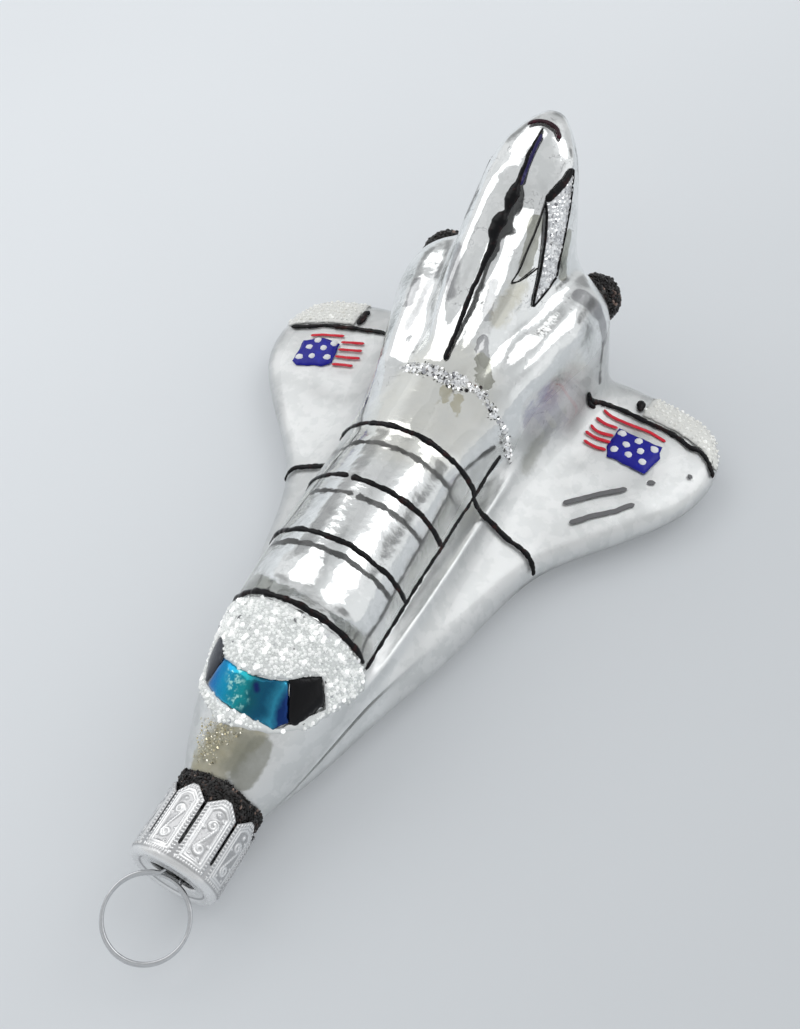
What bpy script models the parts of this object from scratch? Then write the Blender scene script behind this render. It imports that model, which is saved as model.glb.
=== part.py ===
"""A blown glass space shuttle ornament with a crown cap, a wire hanger and painted coats.

Lengths in the tables are millimetres, and MM turns them into metres. The nose points
along -Y, the tail along +Y, and the belly lies on Z = 0. The tables measure Y from the
outer face of the cap.
"""

import math

import bmesh
import bpy
from mathutils import Vector
from mathutils.bvhtree import BVHTree

MM = 0.001

# Driving sizes
CENTRE_Y = 51.08  # from the cap's outer face to the middle of the whole length
WALL = 1.5
NECK_Z = 7.65
NECK_RADIUS = 4.9
NECK_START = 1.0

# The right half of a section has 14 stations, from the ridge over the side to the keel
DOME_ANGLES = (90, 72, 54, 36, 18, 0)
LAST = 13

# Sections from nose to tail. low, side and ridge are how far back the wing, the side and
# the ridge lie; plain is how far the section is a circle round the neck's axis; half,
# shoulder and crown are the fuselage's half width, its widest height and its top; reach,
# edge and edge_half are the wing's tip, its height and half its thickness there; belly is
# the keel's height; root is how far out the flank turns into the wing; a fin_top above
# zero raises the ridge into a fin that is 2 * fin_half wide.
SECTION_COLUMNS = (
    "low", "side", "ridge", "plain", "half", "shoulder", "crown",
    "reach", "edge", "edge_half", "belly", "root", "fin_top", "fin_half",
)
UPRIGHT_ROOT = 0.3
SECTIONS = (
    (1.0, 1.0, 1.0, 1.0, 4.9, 7.6, 12.55, 4.9, 7.0, 1.5, 2.75, 0.3, 0, 0),
    (6.0, 6.0, 6.0, 1.0, 4.9, 7.6, 12.55, 4.9, 7.0, 1.5, 2.75, 0.3, 0, 0),
    (10.6, 10.6, 10.6, 1.0, 5.0, 7.6, 12.6, 5.0, 7.0, 1.5, 2.75, 0.3, 0, 0),
    (14.0, 14.0, 14.0, 0.7, 6.9, 8.6, 15.0, 7.2, 6.5, 2.2, 1.2, 0.3, 0, 0),
    (19.0, 19.0, 19.0, 0.3, 8.3, 10.6, 18.2, 9.0, 6.0, 3.0, 0.5, 0.3, 0, 0),
    (25.0, 25.0, 25.0, 0.1, 9.4, 12.6, 21.6, 10.6, 5.6, 3.4, 0.1, 0.3, 0, 0),
    (33.0, 33.0, 33.0, 0.0, 10.2, 14.8, 24.6, 12.4, 5.2, 3.4, 0.0, 0.3, 0, 0),
    (43.5, 43.5, 43.5, 0.0, 10.4, 15.0, 24.8, 16.2, 4.8, 3.2, 0.0, 0.3, 0, 0),
    (53.0, 53.0, 53.0, 0.0, 10.5, 15.0, 24.8, 18.2, 4.6, 3.2, 0.0, 0.3, 0, 0),
    (62.0, 62.5, 63.0, 0.0, 10.6, 15.0, 24.8, 20.6, 4.4, 3.0, 0.0, 0.3, 0, 0),
    (69.0, 70.5, 73.0, 0.0, 10.8, 15.0, 24.9, 26.4, 4.2, 3.0, 0.0, 0.25, 0, 0),
    (76.0, 78.0, 80.5, 0.0, 12.4, 15.4, 25.4, 33.2, 4.2, 3.0, 0.0, 0.16, 29.0, 4.4),
    (82.0, 85.0, 90.5, 0.0, 14.6, 16.4, 26.0, 36.8, 4.2, 3.0, 0.0, 0.09, 35.2, 6.6),
    (89.0, 92.0, 99.5, 0.0, 16.2, 17.0, 26.6, 37.6, 4.2, 3.0, 0.0, 0.06, 39.8, 7.6),
    (94.0, 97.5, 106.5, 0.0, 16.2, 17.0, 26.2, 35.6, 4.2, 2.8, 0.0, 0.06, 43.8, 7.6),
    (97.5, 102.0, 110.3, 0.0, 13.6, 15.8, 23.4, 32.0, 4.2, 2.2, 0.4, 0.1, 42.8, 5.6),
)
FIN_BULGE = 3.4
TAIL_BULGE = 1.4

# Paint and glitter: each coat lies GAP above the glass and is COAT thick, and each stroke
# is a round bead whose points lie at most STROKE_STEP apart
GAP = 0.15
COAT = 0.5
STROKE_STEP = 1.6
LINE_RADIUS = 0.4
STRIPE_RADIUS = 0.6
BAY_LINES = (32.8, 43.2, 53.0, 62.8)
BAY_LINE_ANGLE = 75
BAY_HALF_WIDTH, BAY_SHOULDER, BAY_RISE = 10.5, 15.0, 9.8
SIDE_LINE_X, SIDE_LINE_Z = 10.6, 15.9
SIDE_LINE_Y = (34, 42, 50, 58, 66, 70)

# Outlines seen from above, x and y, given for the right side where both sides are alike
NOSE_GLITTER = (
    (0, 32.0), (10.6, 32.0), (10.0, 27.0), (8.6, 22.4), (6.6, 19.9), (3.4, 18.7), (0, 18.5),
)
WINDSHIELD = ((0, 23.3), (2.3, 23.8), (4.2, 24.6), (6.0, 21.0), (4.5, 19.5), (0, 19.1))
WINDOW = ((4.7, 25.0), (7.2, 27.6), (8.6, 25.1), (6.5, 21.3))
FLAGS = {
    "right": ((17.8, 89.8), (28.8, 89.4), (28.4, 82.4), (18.0, 83.2)),
    "left": ((-31.3, 86.9), (-25.4, 88.6), (-20.4, 88.2), (-20.2, 82.8), (-25.4, 81.2), (-30.9, 80.0)),
}
ELEVON_GLITTER = (
    (24.5, 92.3), (29.0, 91.7), (33.4, 90.5), (38.5, 88.0), (38.5, 100.0), (24.5, 100.0),
)
COLLAR = ((-12, 9.4), (12, 9.4), (12, 11.9), (-12, 11.9))
WING_TOP = 8.0
DIVIDER = ((23.4, 92.8, WING_TOP), (23.4, 94.6, WING_TOP), (23.4, 96.4, WING_TOP))
WING_LINE = ((11.0, 62.8, 14.0), (12.6, 62.8, 11.0), (16.3, 62.6, 8.3), (20.0, 61.4, 5.6))
HINGES = {
    "right": (
        (16.1, 89.2, 12.4), (16.7, 89.5, 10.4), (17.7, 90.7, 9.4), (21.6, 91.6, WING_TOP),
        (26.3, 91.2, WING_TOP), (31.0, 90.3, WING_TOP), (34.3, 89.2, WING_TOP), (36.5, 87.8, WING_TOP),
    ),
    "left": (
        (-18.6, 90.9, WING_TOP), (-22.2, 91.0, WING_TOP), (-27.5, 90.6, WING_TOP), (-30.6, 89.9, WING_TOP),
        (-32.8, 88.9, WING_TOP), (-35.1, 87.9, WING_TOP),
    ),
}
GREY_STROKES = (
    ((19.6, 72.2, WING_TOP), (23.2, 75.7, WING_TOP), (26.8, 78.8, WING_TOP)),
    ((21.8, 69.6, WING_TOP), (25.3, 73.1, WING_TOP), (28.8, 76.8, WING_TOP)),
    ((28.8, 81.1, WING_TOP), (30.0, 81.7, WING_TOP)),
)
GLITTER_ARC = (
    (0, 73.0), (3.5, 72.8), (8.0, 72.0), (12.4, 71.0), (12.4, 72.9), (8.0, 74.0), (3.5, 74.6), (0, 74.8),
)

# Outlines seen from the side, y and z
FIN_PANELS = {
    "right": ((98.6, 37.4), (105.6, 38.6), (103.9, 35.8), (95.0, 27.2), (88.2, 26.2)),
    "left": ((104.4, 37.4), (109.8, 38.0), (108.2, 35.4), (101.6, 29.0), (97.2, 28.4)),
}
FIN_STRIPE_X = 0.4
FIN_STRIPE = (
    (75.9, 26.3), (80.1, 28.3), (86.6, 31.9), (94.4, 36.1), (100.3, 38.9), (104.6, 40.8), (106.6, 41.4),
)
FIN_TIP = ((-2.7, 107.6, 40.7), (-1.8, 108.5, 41.2), (0.2, 108.6, 41.6), (2.6, 107.3, 41.1))

# How far down and up, or out on the fin, each cutter reaches
SKY = 30
WINDOW_REACH = (9, SKY)
NOSE_REACH = (11, SKY)
COLLAR_REACH = (-5, SKY)
ARC_REACH = (13.4, SKY)
WING_REACH = (4.3, 20)
PANEL_REACH = {"right": (0.5, 14), "left": (-14, -0.5)}

# Ends of the pods: x, y, z and radius of the ball
POD_BALLS = {"right": (11.6, 101.5, 18.6, 3.9), "left": (-12.6, 101.5, 17.4, 4.7)}

# Cap and hanger
CAP_RADIUS = 6.25
CAP_SHEET = 0.3
CAP_ROLL = 18.0
PETALS = 8
PETAL_TURN = 13.0
PETAL_VALLEY = 8.5
PETAL_TIP = 10.2
PETAL_SHOULDER = 0.25
SLIT_START = 2.7
SLIT_SHARE = 0.045
SLOT_HALF_LENGTH = 3.2
SLOT_HALF_WIDTH = 1.6
SLOT_DEPTH = 0.45
CAP_ROWS = (
    (4.6, 0.35), (5.2, 0.05), (5.8, 0.1), (6.15, 0.6), (CAP_RADIUS, 1.6),
    (CAP_RADIUS, SLIT_START), (CAP_RADIUS, 6.0), (CAP_RADIUS, PETAL_VALLEY),
)
WIRE_RADIUS = 0.25
RING_RADIUS = 5.3
RING_REACH = 5.2
RING_DROOP = 12.0
RING_PITCH = 1.05
RING_START, RING_TURN = 106, 688
RING_STEPS = 44
LEG = ((-1.9, 4.8, 0.3), (-1.2, 1.6, 0.45), (-1.15, 0.7, 0.5))

# Finishes: colour, roughness and how metallic
FINISHES = {
    "silvered_glass": ((0.86, 0.87, 0.88), 0.04, 1.0),
    "cap_metal": ((0.8, 0.8, 0.8), 0.25, 1.0),
    "wire": ((0.75, 0.76, 0.78), 0.2, 1.0),
    "black_paint": ((0.02, 0.02, 0.022), 0.3, 0.0),
    "black_glitter": ((0.05, 0.03, 0.03), 0.6, 0.0),
    "white_glitter": ((0.9, 0.9, 0.9), 0.6, 0.0),
    "silver_glitter": ((0.8, 0.8, 0.82), 0.4, 0.6),
    "teal_lacquer": ((0.02, 0.3, 0.5), 0.1, 0.0),
    "grey_paint": ((0.35, 0.35, 0.36), 0.4, 0.0),
    "flag_paint": ((0.8, 0.82, 0.85), 0.3, 0.0),
}


def place(x, y, z):
    return Vector((x * MM, (y - CENTRE_Y) * MM, z * MM))


def finish(name):
    """One of the finishes as a material, made when it is first asked for."""
    if name in bpy.data.materials:
        return bpy.data.materials[name]
    colour, roughness, metallic = FINISHES[name]
    material = bpy.data.materials.new(name)
    material.use_nodes = True
    shader = material.node_tree.nodes["Principled BSDF"]
    shader.inputs["Base Color"].default_value = (*colour, 1.0)
    shader.inputs["Roughness"].default_value = roughness
    shader.inputs["Metallic"].default_value = metallic
    return material


def add_object(name, data, finish_name, home):
    obj = bpy.data.objects.new(name, data)
    home.objects.link(obj)
    if finish_name:
        obj.data.materials.append(finish(finish_name))
    return obj


def mesh_from(bm, name):
    bmesh.ops.recalc_face_normals(bm, faces=bm.faces)
    mesh = bpy.data.meshes.new(name)
    bm.to_mesh(mesh)
    bm.free()
    return mesh


# Glass body


def dome_point(row, k):
    """A station on the rounded top, or on the fin and pod where the section has them."""
    half, crown, shoulder = row["half"], row["crown"], row["shoulder"]
    if not row["fin_top"]:
        angle = math.radians(DOME_ANGLES[k])
        return half * math.cos(angle), shoulder + (crown - shoulder) * math.sin(angle)
    fin_half = row["fin_half"]
    return {
        0: (0.0, row["fin_top"]),
        1: (fin_half, row["fin_top"] - 0.45 * fin_half),
        2: (fin_half + 0.4, crown - 1.4),
        3: (0.76 * half, crown),
        4: (0.99 * half, 0.5 * (crown + shoulder) + 0.8),
        5: (half, shoulder),
    }[k]


def side_point(row, k):
    """A station on the flank, the wing or the belly."""
    half, reach, edge, thick = row["half"], row["reach"], row["edge"], row["edge_half"]
    span = reach - half
    top = edge + thick
    rise = row["shoulder"] - top
    steep = 1 - row["root"] / UPRIGHT_ROOT
    return {
        6: (half + 0.10 * (1 - steep) * span, top + (0.60 - 0.20 * steep) * rise),
        7: (half + row["root"] * span, top + (0.22 - 0.14 * steep) * rise),
        8: (half + (0.65 - 0.25 * steep) * span, top + 0.04 * rise),
        9: (reach - 0.45 * thick, edge + 0.85 * thick),
        10: (reach, edge),
        11: (reach - 0.45 * thick, edge - 0.85 * thick),
        12: (0.55 * reach, row["belly"] + 0.15),
        13: (0.0, row["belly"]),
    }[k]


def station(row, k):
    """Point k of the half section."""
    x, z = dome_point(row, k) if k <= 5 else side_point(row, k)
    radius = 0.5 * (row["crown"] - row["belly"])
    middle = 0.5 * (row["crown"] + row["belly"])
    turn = math.radians(90 - 180 * k / LAST)
    plain = row["plain"]
    x = plain * radius * math.cos(turn) + (1 - plain) * x
    z = plain * (middle + radius * math.sin(turn)) + (1 - plain) * z
    if k <= 1:
        y = row["ridge"]
    elif k == 2:
        y = 0.45 * row["ridge"] + 0.55 * row["side"]
    else:
        y = row["side"] if k <= 6 else row["low"]
    return x, y, z


def body_mesh(closed_neck=False):
    """Rings of quads from the neck's rim to the tail, and strips across the tail."""
    bm = bmesh.new()
    rings = []
    for values in SECTIONS:
        row = dict(zip(SECTION_COLUMNS, values))
        right = [station(row, k) for k in range(LAST + 1)]
        left = [(-x, y, z) for x, y, z in reversed(right[1:LAST])]
        rings.append([bm.verts.new(place(*point)) for point in right + left])
    count = len(rings[0])
    for near, far in zip(rings, rings[1:]):
        for k in range(count):
            following = (k + 1) % count
            bm.faces.new((near[k], near[following], far[following], far[k]))
    tail = rings[-1]
    middles = {}
    for k in range(1, LAST):
        bulge = FIN_BULGE if k <= 2 else TAIL_BULGE
        middles[k] = bm.verts.new((0, tail[k].co.y + bulge * MM, tail[k].co.z))
    tail[0].co.y += FIN_BULGE * MM
    for side in (1, -1):
        ring = [tail[side * k] for k in range(LAST + 1)]
        bm.faces.new((ring[0], ring[1], middles[1]))
        bm.faces.new((ring[LAST], ring[LAST - 1], middles[LAST - 1]))
        for k in range(1, LAST - 1):
            bm.faces.new((ring[k], ring[k + 1], middles[k + 1], middles[k]))
    if closed_neck:
        bm.faces.new(rings[0])
    return mesh_from(bm, "body")


def smooth_once(obj):
    modifier = obj.modifiers.new("smooth", "SUBSURF")
    modifier.levels = 1
    modifier.render_levels = 1


def glass_body(home):
    body = add_object("glass_body", body_mesh(), "silvered_glass", home)
    smooth_once(body)
    wall = body.modifiers.new("wall", "SOLIDIFY")
    wall.thickness = WALL * MM
    wall.offset = -1


def evaluated_mesh(obj):
    bpy.context.view_layer.update()
    graph = bpy.context.evaluated_depsgraph_get()
    return bpy.data.meshes.new_from_object(obj.evaluated_get(graph))


# Coats: thin shells over the glass, cut to an outline


def coat_shell(helpers):
    """A closed shell that lies GAP above the glass and is COAT thick."""
    shell = add_object("coat_shell", body_mesh(closed_neck=True), None, helpers)
    smooth_once(shell)
    lift = shell.modifiers.new("lift", "DISPLACE")
    lift.strength = GAP * MM
    lift.mid_level = 0
    skin = evaluated_mesh(shell)
    shell.hide_render = True
    shell.modifiers.clear()
    shell.data = skin
    return shell


def prism(name, outline, axis, reach, helpers):
    """A hidden cutter: the outline drawn out along Z, or along X for a side view."""
    bm = bmesh.new()
    ends = []
    for level in reach:
        if axis == "Z":
            ends.append([bm.verts.new(place(a, b, level)) for a, b in outline])
        else:
            ends.append([bm.verts.new(place(level, a, b)) for a, b in outline])
    count = len(outline)
    bm.faces.new(ends[0])
    bm.faces.new(ends[1])
    for k in range(count):
        following = (k + 1) % count
        bm.faces.new((ends[0][k], ends[0][following], ends[1][following], ends[1][k]))
    cutter = add_object(name, mesh_from(bm, name), None, helpers)
    cutter.hide_render = True
    cutter.display_type = "WIRE"
    return cutter


def both_sides(half_outline):
    """A right-hand outline closed by its mirror image."""
    left = [(-x, y) for x, y in reversed(half_outline) if x]
    return list(half_outline) + left


def mirrored(outline):
    return [(-x, y) for x, y in reversed(outline)]


def coat(name, shell, finish_name, home, cutter, holes=()):
    """A patch of the shell inside the cutter, less the holes."""
    patch = add_object(name, shell.data.copy(), finish_name, home)
    thick = patch.modifiers.new("thick", "SOLIDIFY")
    thick.thickness = COAT * MM
    thick.offset = 1
    kept = patch.modifiers.new("cut", "BOOLEAN")
    kept.operation = "INTERSECT"
    kept.object = cutter
    for hole in holes:
        cut = patch.modifiers.new("hole", "BOOLEAN")
        cut.operation = "DIFFERENCE"
        cut.object = hole


# Strokes: paint lines drawn on the glass


def draped(tree, points, radius):
    """Points close together along the path, lifted off the glass by the stroke's radius."""
    path = []
    for start, end in zip(points, points[1:]):
        start, end = Vector(start), Vector(end)
        parts = max(1, round((end - start).length / STROKE_STEP))
        path += [start.lerp(end, k / parts) for k in range(parts)]
    path.append(Vector(points[-1]))
    lifted = []
    for point in path:
        near, normal, _, _ = tree.find_nearest(place(*point))
        lifted.append(near + normal * (radius + GAP) * MM)
    return lifted


def stroke(name, tree, points, radius, finish_name, home):
    curve = bpy.data.curves.new(name, "CURVE")
    curve.dimensions = "3D"
    curve.bevel_depth = radius * MM
    curve.bevel_resolution = 0
    curve.use_fill_caps = True
    path = draped(tree, points, radius)
    spline = curve.splines.new("POLY")
    spline.points.add(len(path) - 1)
    for point, where in zip(spline.points, path):
        point.co = (*where, 1)
    add_object(name, curve, finish_name, home)


def over_the_bay(y, steps=14):
    """Points round the bay's dome at one y, from the left side to the right one."""
    points = []
    for k in range(steps + 1):
        angle = math.radians(BAY_LINE_ANGLE * (2 * k / steps - 1))
        points.append((BAY_HALF_WIDTH * math.sin(angle), y, BAY_SHOULDER + BAY_RISE * math.cos(angle)))
    return points


def on_side(points, word):
    """The points as given for the right side, or mirrored for the left one."""
    return [(-x if word == "left" else x, *rest) for x, *rest in points]


# Crown cap and hanger


def rolled(x, y, z):
    """A point of the cap, turned about the neck's axis."""
    roll = math.radians(CAP_ROLL)
    across = x * math.cos(roll) + z * math.sin(roll)
    up = z * math.cos(roll) - x * math.sin(roll)
    return place(across, y, NECK_Z + up)


def cap_columns():
    """Angle, share of the way to the petal's tip, and whether a slit follows."""
    columns = []
    for petal in range(PETALS):
        for share in (-0.5 + SLIT_SHARE, -0.25, 0.0, 0.25, 0.5 - SLIT_SHARE):
            angle = math.radians(PETAL_TURN + 360 / PETALS * (petal + share))
            rise = max(0.0, 1 - 2 * abs(share))
            columns.append((angle, rise, share > 0.4))
    return columns


def crown_cap(home):
    """A sheet from the slot over the end and the side to the petals, made solid."""
    columns = cap_columns()
    bm = bmesh.new()
    grid = []
    slot = []
    for angle, _, _ in columns:
        x = SLOT_HALF_LENGTH * math.sin(angle)
        z = SLOT_HALF_WIDTH * math.cos(angle)
        slot.append(bm.verts.new(rolled(x, SLOT_DEPTH, z)))
    grid.append(slot)
    for radius, y in CAP_ROWS:
        ring = [rolled(radius * math.sin(angle), y, radius * math.cos(angle)) for angle, _, _ in columns]
        grid.append([bm.verts.new(point) for point in ring])
    tips = []
    foot = PETAL_VALLEY + PETAL_SHOULDER
    for angle, rise, _ in columns:
        y = foot + (PETAL_TIP - foot) * rise
        tips.append(bm.verts.new(rolled(CAP_RADIUS * math.sin(angle), y, CAP_RADIUS * math.cos(angle))))
    grid.append(tips)
    first_slit_row = 1 + CAP_ROWS.index((CAP_RADIUS, SLIT_START))
    for r, (near, far) in enumerate(zip(grid, grid[1:])):
        for k, (_, _, slit) in enumerate(columns):
            if slit and r >= first_slit_row:
                continue
            following = (k + 1) % len(columns)
            bm.faces.new((near[k], near[following], far[following], far[k]))
    sheet = add_object("crown_cap", mesh_from(bm, "crown_cap"), "cap_metal", home)
    thick = sheet.modifiers.new("sheet", "SOLIDIFY")
    thick.thickness = CAP_SHEET * MM
    thick.offset = -1


def hanger(home):
    """Two turns of wire whose ends go through the slot into the neck."""
    droop = math.radians(RING_DROOP)
    points = list(LEG)
    for k in range(RING_STEPS + 1):
        turn = math.radians(RING_START + RING_TURN * k / RING_STEPS)
        across = RING_RADIUS * math.cos(turn)
        out = -RING_REACH + RING_RADIUS * math.sin(turn)
        level = RING_PITCH * (0.5 - k / RING_STEPS)
        y = out * math.cos(droop) + level * math.sin(droop)
        up = out * math.sin(droop) + level * math.cos(droop)
        points.append((across, y, up))
    points += [(-x, y, -z) for x, y, z in reversed(LEG)]
    curve = bpy.data.curves.new("wire_hanger", "CURVE")
    curve.dimensions = "3D"
    curve.bevel_depth = WIRE_RADIUS * MM
    curve.bevel_resolution = 0
    curve.use_fill_caps = True
    spline = curve.splines.new("POLY")
    spline.points.add(len(points) - 1)
    for point, where in zip(spline.points, points):
        point.co = (*rolled(*where), 1)
    add_object("wire_hanger", curve, "wire", home)


def ball(name, sizes, finish_name, home, cutter):
    """The part of a ball that stands clear of the glass."""
    x, y, z, radius = sizes
    bm = bmesh.new()
    bmesh.ops.create_uvsphere(bm, u_segments=16, v_segments=10, radius=radius * MM)
    bmesh.ops.translate(bm, verts=bm.verts, vec=place(x, y, z))
    obj = add_object(name, mesh_from(bm, name), finish_name, home)
    cut = obj.modifiers.new("seat", "BOOLEAN")
    cut.operation = "DIFFERENCE"
    cut.object = cutter


# What is painted and glittered on each part of the glass


def nose_coats(shell, home, helpers):
    band = prism("band_cut", both_sides(WINDSHIELD), "Z", WINDOW_REACH, helpers)
    right = prism("window_right_cut", WINDOW, "Z", WINDOW_REACH, helpers)
    left = prism("window_left_cut", mirrored(WINDOW), "Z", WINDOW_REACH, helpers)
    nose = prism("nose_cut", both_sides(NOSE_GLITTER), "Z", NOSE_REACH, helpers)
    collar = prism("collar_cut", COLLAR, "Z", COLLAR_REACH, helpers)
    coat("nose_glitter", shell, "white_glitter", home, nose, [band, right, left])
    coat("windshield", shell, "teal_lacquer", home, band)
    coat("window_right", shell, "black_paint", home, right)
    coat("window_left", shell, "black_paint", home, left)
    coat("neck_glitter", shell, "black_glitter", home, collar)


def bay_coats(shell, tree, home, helpers):
    for number, y in enumerate(BAY_LINES, 1):
        stroke(f"bay_line_{number}", tree, over_the_bay(y), LINE_RADIUS, "black_paint", home)
    arc = prism("arc_cut", both_sides(GLITTER_ARC), "Z", ARC_REACH, helpers)
    coat("glitter_arc", shell, "silver_glitter", home, arc)


def wing_coats(word, shell, tree, home, helpers):
    side_line = [(SIDE_LINE_X, y, SIDE_LINE_Z) for y in SIDE_LINE_Y]
    stroke(f"side_line_{word}", tree, on_side(side_line, word), LINE_RADIUS, "black_paint", home)
    stroke(f"wing_line_{word}", tree, on_side(WING_LINE, word), LINE_RADIUS, "black_paint", home)
    stroke(f"hinge_line_{word}", tree, HINGES[word], LINE_RADIUS, "black_paint", home)
    stroke(f"elevon_line_{word}", tree, on_side(DIVIDER, word), LINE_RADIUS, "black_paint", home)
    elevon = ELEVON_GLITTER if word == "right" else mirrored(ELEVON_GLITTER)
    cut = prism(f"elevon_{word}_cut", elevon, "Z", WING_REACH, helpers)
    coat(f"elevon_glitter_{word}", shell, "white_glitter", home, cut)
    cut = prism(f"flag_{word}_cut", FLAGS[word], "Z", WING_REACH, helpers)
    coat(f"flag_{word}", shell, "flag_paint", home, cut)


def tail_coats(word, shell, home, helpers):
    cut = prism(f"panel_{word}_cut", FIN_PANELS[word], "X", PANEL_REACH[word], helpers)
    coat(f"fin_panel_{word}", shell, "silver_glitter", home, cut)
    ball(f"pod_glitter_{word}", POD_BALLS[word], "black_glitter", home, shell)


def main():
    for old in list(bpy.data.objects):
        bpy.data.objects.remove(old)
    home = bpy.data.collections.new("shuttle_ornament")
    helpers = bpy.data.collections.new("cutters")
    bpy.context.scene.collection.children.link(home)
    bpy.context.scene.collection.children.link(helpers)

    glass_body(home)
    crown_cap(home)
    hanger(home)

    shell = coat_shell(helpers)
    tree = BVHTree.FromPolygons(
        [v.co for v in shell.data.vertices], [p.vertices for p in shell.data.polygons]
    )
    nose_coats(shell, home, helpers)
    bay_coats(shell, tree, home, helpers)
    for word in ("right", "left"):
        wing_coats(word, shell, tree, home, helpers)
        tail_coats(word, shell, home, helpers)
    for number, points in enumerate(GREY_STROKES, 1):
        stroke(f"wing_stroke_{number}", tree, points, LINE_RADIUS, "grey_paint", home)
    stripe = [(FIN_STRIPE_X, y, z) for y, z in FIN_STRIPE]
    stroke("fin_stripe", tree, stripe, STRIPE_RADIUS, "black_paint", home)
    stroke("fin_tip_line", tree, FIN_TIP, LINE_RADIUS, "black_paint", home)


main()
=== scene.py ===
# %% [markdown]
# A silvered glass ornament in the shape of a space shuttle. The real one is blown into a
# mould, silvered inside, and painted and glittered by hand. This file dresses the plain
# solids of its frame: it makes the fine glass, the silver behind it, each stroke of paint,
# each patch of glitter, the pressed cap and the wire ring.

# %% Load the frame
import math
import random

import bmesh
import bpy
import numpy as np
from mathutils import Matrix, Vector, geometry, noise
from mathutils.bvhtree import BVHTree


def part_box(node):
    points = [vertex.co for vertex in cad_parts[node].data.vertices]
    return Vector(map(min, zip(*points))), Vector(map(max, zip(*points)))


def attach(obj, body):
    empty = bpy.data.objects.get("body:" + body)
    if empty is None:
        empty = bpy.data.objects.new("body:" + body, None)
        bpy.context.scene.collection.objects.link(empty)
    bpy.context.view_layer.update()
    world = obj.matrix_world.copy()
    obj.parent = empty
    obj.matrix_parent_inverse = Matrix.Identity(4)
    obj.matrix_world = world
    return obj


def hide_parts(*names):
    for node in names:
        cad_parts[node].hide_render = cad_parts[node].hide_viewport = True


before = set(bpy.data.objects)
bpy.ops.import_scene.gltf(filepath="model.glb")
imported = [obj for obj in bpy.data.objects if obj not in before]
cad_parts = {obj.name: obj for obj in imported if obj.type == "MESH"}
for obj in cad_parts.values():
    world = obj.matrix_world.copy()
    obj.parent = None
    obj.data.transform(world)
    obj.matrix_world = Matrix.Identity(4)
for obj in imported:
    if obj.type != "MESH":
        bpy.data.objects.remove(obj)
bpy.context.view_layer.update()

# %% [markdown]
# All sizes below are millimetres. Y is measured from the outer face of the cap, because
# that is where a ruler would start, and `at` turns such a point into the frame's metres.

# %% Units
MM = 0.001
CAP_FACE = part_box("crown_cap")[0].y - 0.05 * MM


def at(x, y, z):
    return Vector((x * MM, CAP_FACE + y * MM, z * MM))


print("cap face at y =", round(CAP_FACE / MM, 2), "mm")

# %% [markdown]
# The camera stands where the photographer stood: in front of the nose, above it and a bit
# to the right. Its place was solved from points that show on the cap, the nose and the
# wings, and its lens gives the picture's own perspective.

# %% Camera
PICTURE_HEIGHT = 1029
FOCAL_PIXELS = 1416.14
CAMERA_PLACE = (66.98, -41.26, 169.12)
YAW, PITCH, ROLL = (math.radians(a) for a in (33.52, 52.84, -6.93))

ahead = Vector((-math.sin(YAW) * math.cos(PITCH), math.cos(YAW) * math.cos(PITCH), -math.sin(PITCH)))
level_right = Vector((math.cos(YAW), math.sin(YAW), 0))
level_up = level_right.cross(ahead)
right = math.cos(ROLL) * level_right + math.sin(ROLL) * level_up
up = math.cos(ROLL) * level_up - math.sin(ROLL) * level_right

lens = bpy.data.cameras.new("camera")
lens.sensor_fit = "VERTICAL"
lens.sensor_height = 24
lens.lens = 24 * FOCAL_PIXELS / PICTURE_HEIGHT
lens.clip_start = 0.01
lens.clip_end = 20
camera = bpy.data.objects.new("camera", lens)
turn = Matrix((right, up, -ahead)).transposed().to_4x4()
camera.matrix_world = Matrix.Translation(at(*CAMERA_PLACE)) @ turn
bpy.context.scene.collection.objects.link(camera)
bpy.context.scene.camera = camera
print("lens:", round(lens.lens, 2), "mm")

# %% [markdown]
# Shader and geometry maths read best as Python. `Wire` wraps one socket, and its operators
# add Math nodes, so that `1 - mask` is a line of code and not three clicks. `Board` wraps a
# node tree. A `Finish` is the board of a material and a `Recipe` that of a geometry group.

# %% Node trees in Python


class Wire:
    """One output socket. Python's operators on it add Math nodes."""

    def __init__(self, board, socket):
        self.board = board
        self.socket = socket

    def sibling(self, name):
        """Another output of the same node."""
        return Wire(self.board, self.socket.node.outputs[name])


def operator(operation, swapped=False):
    def apply(wire, other):
        first, second = (other, wire) if swapped else (wire, other)
        return wire.board.math(operation, first, second)
    return apply


OPERATIONS = {
    "add": "ADD", "sub": "SUBTRACT", "mul": "MULTIPLY", "truediv": "DIVIDE", "pow": "POWER",
    "gt": "GREATER_THAN", "lt": "LESS_THAN",
}
for word, operation in OPERATIONS.items():
    setattr(Wire, f"__{word}__", operator(operation))
    setattr(Wire, f"__r{word}__", operator(operation, swapped=True))


def solid(colour):
    return (*colour, 1) if isinstance(colour, tuple) and len(colour) == 3 else colour


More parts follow.
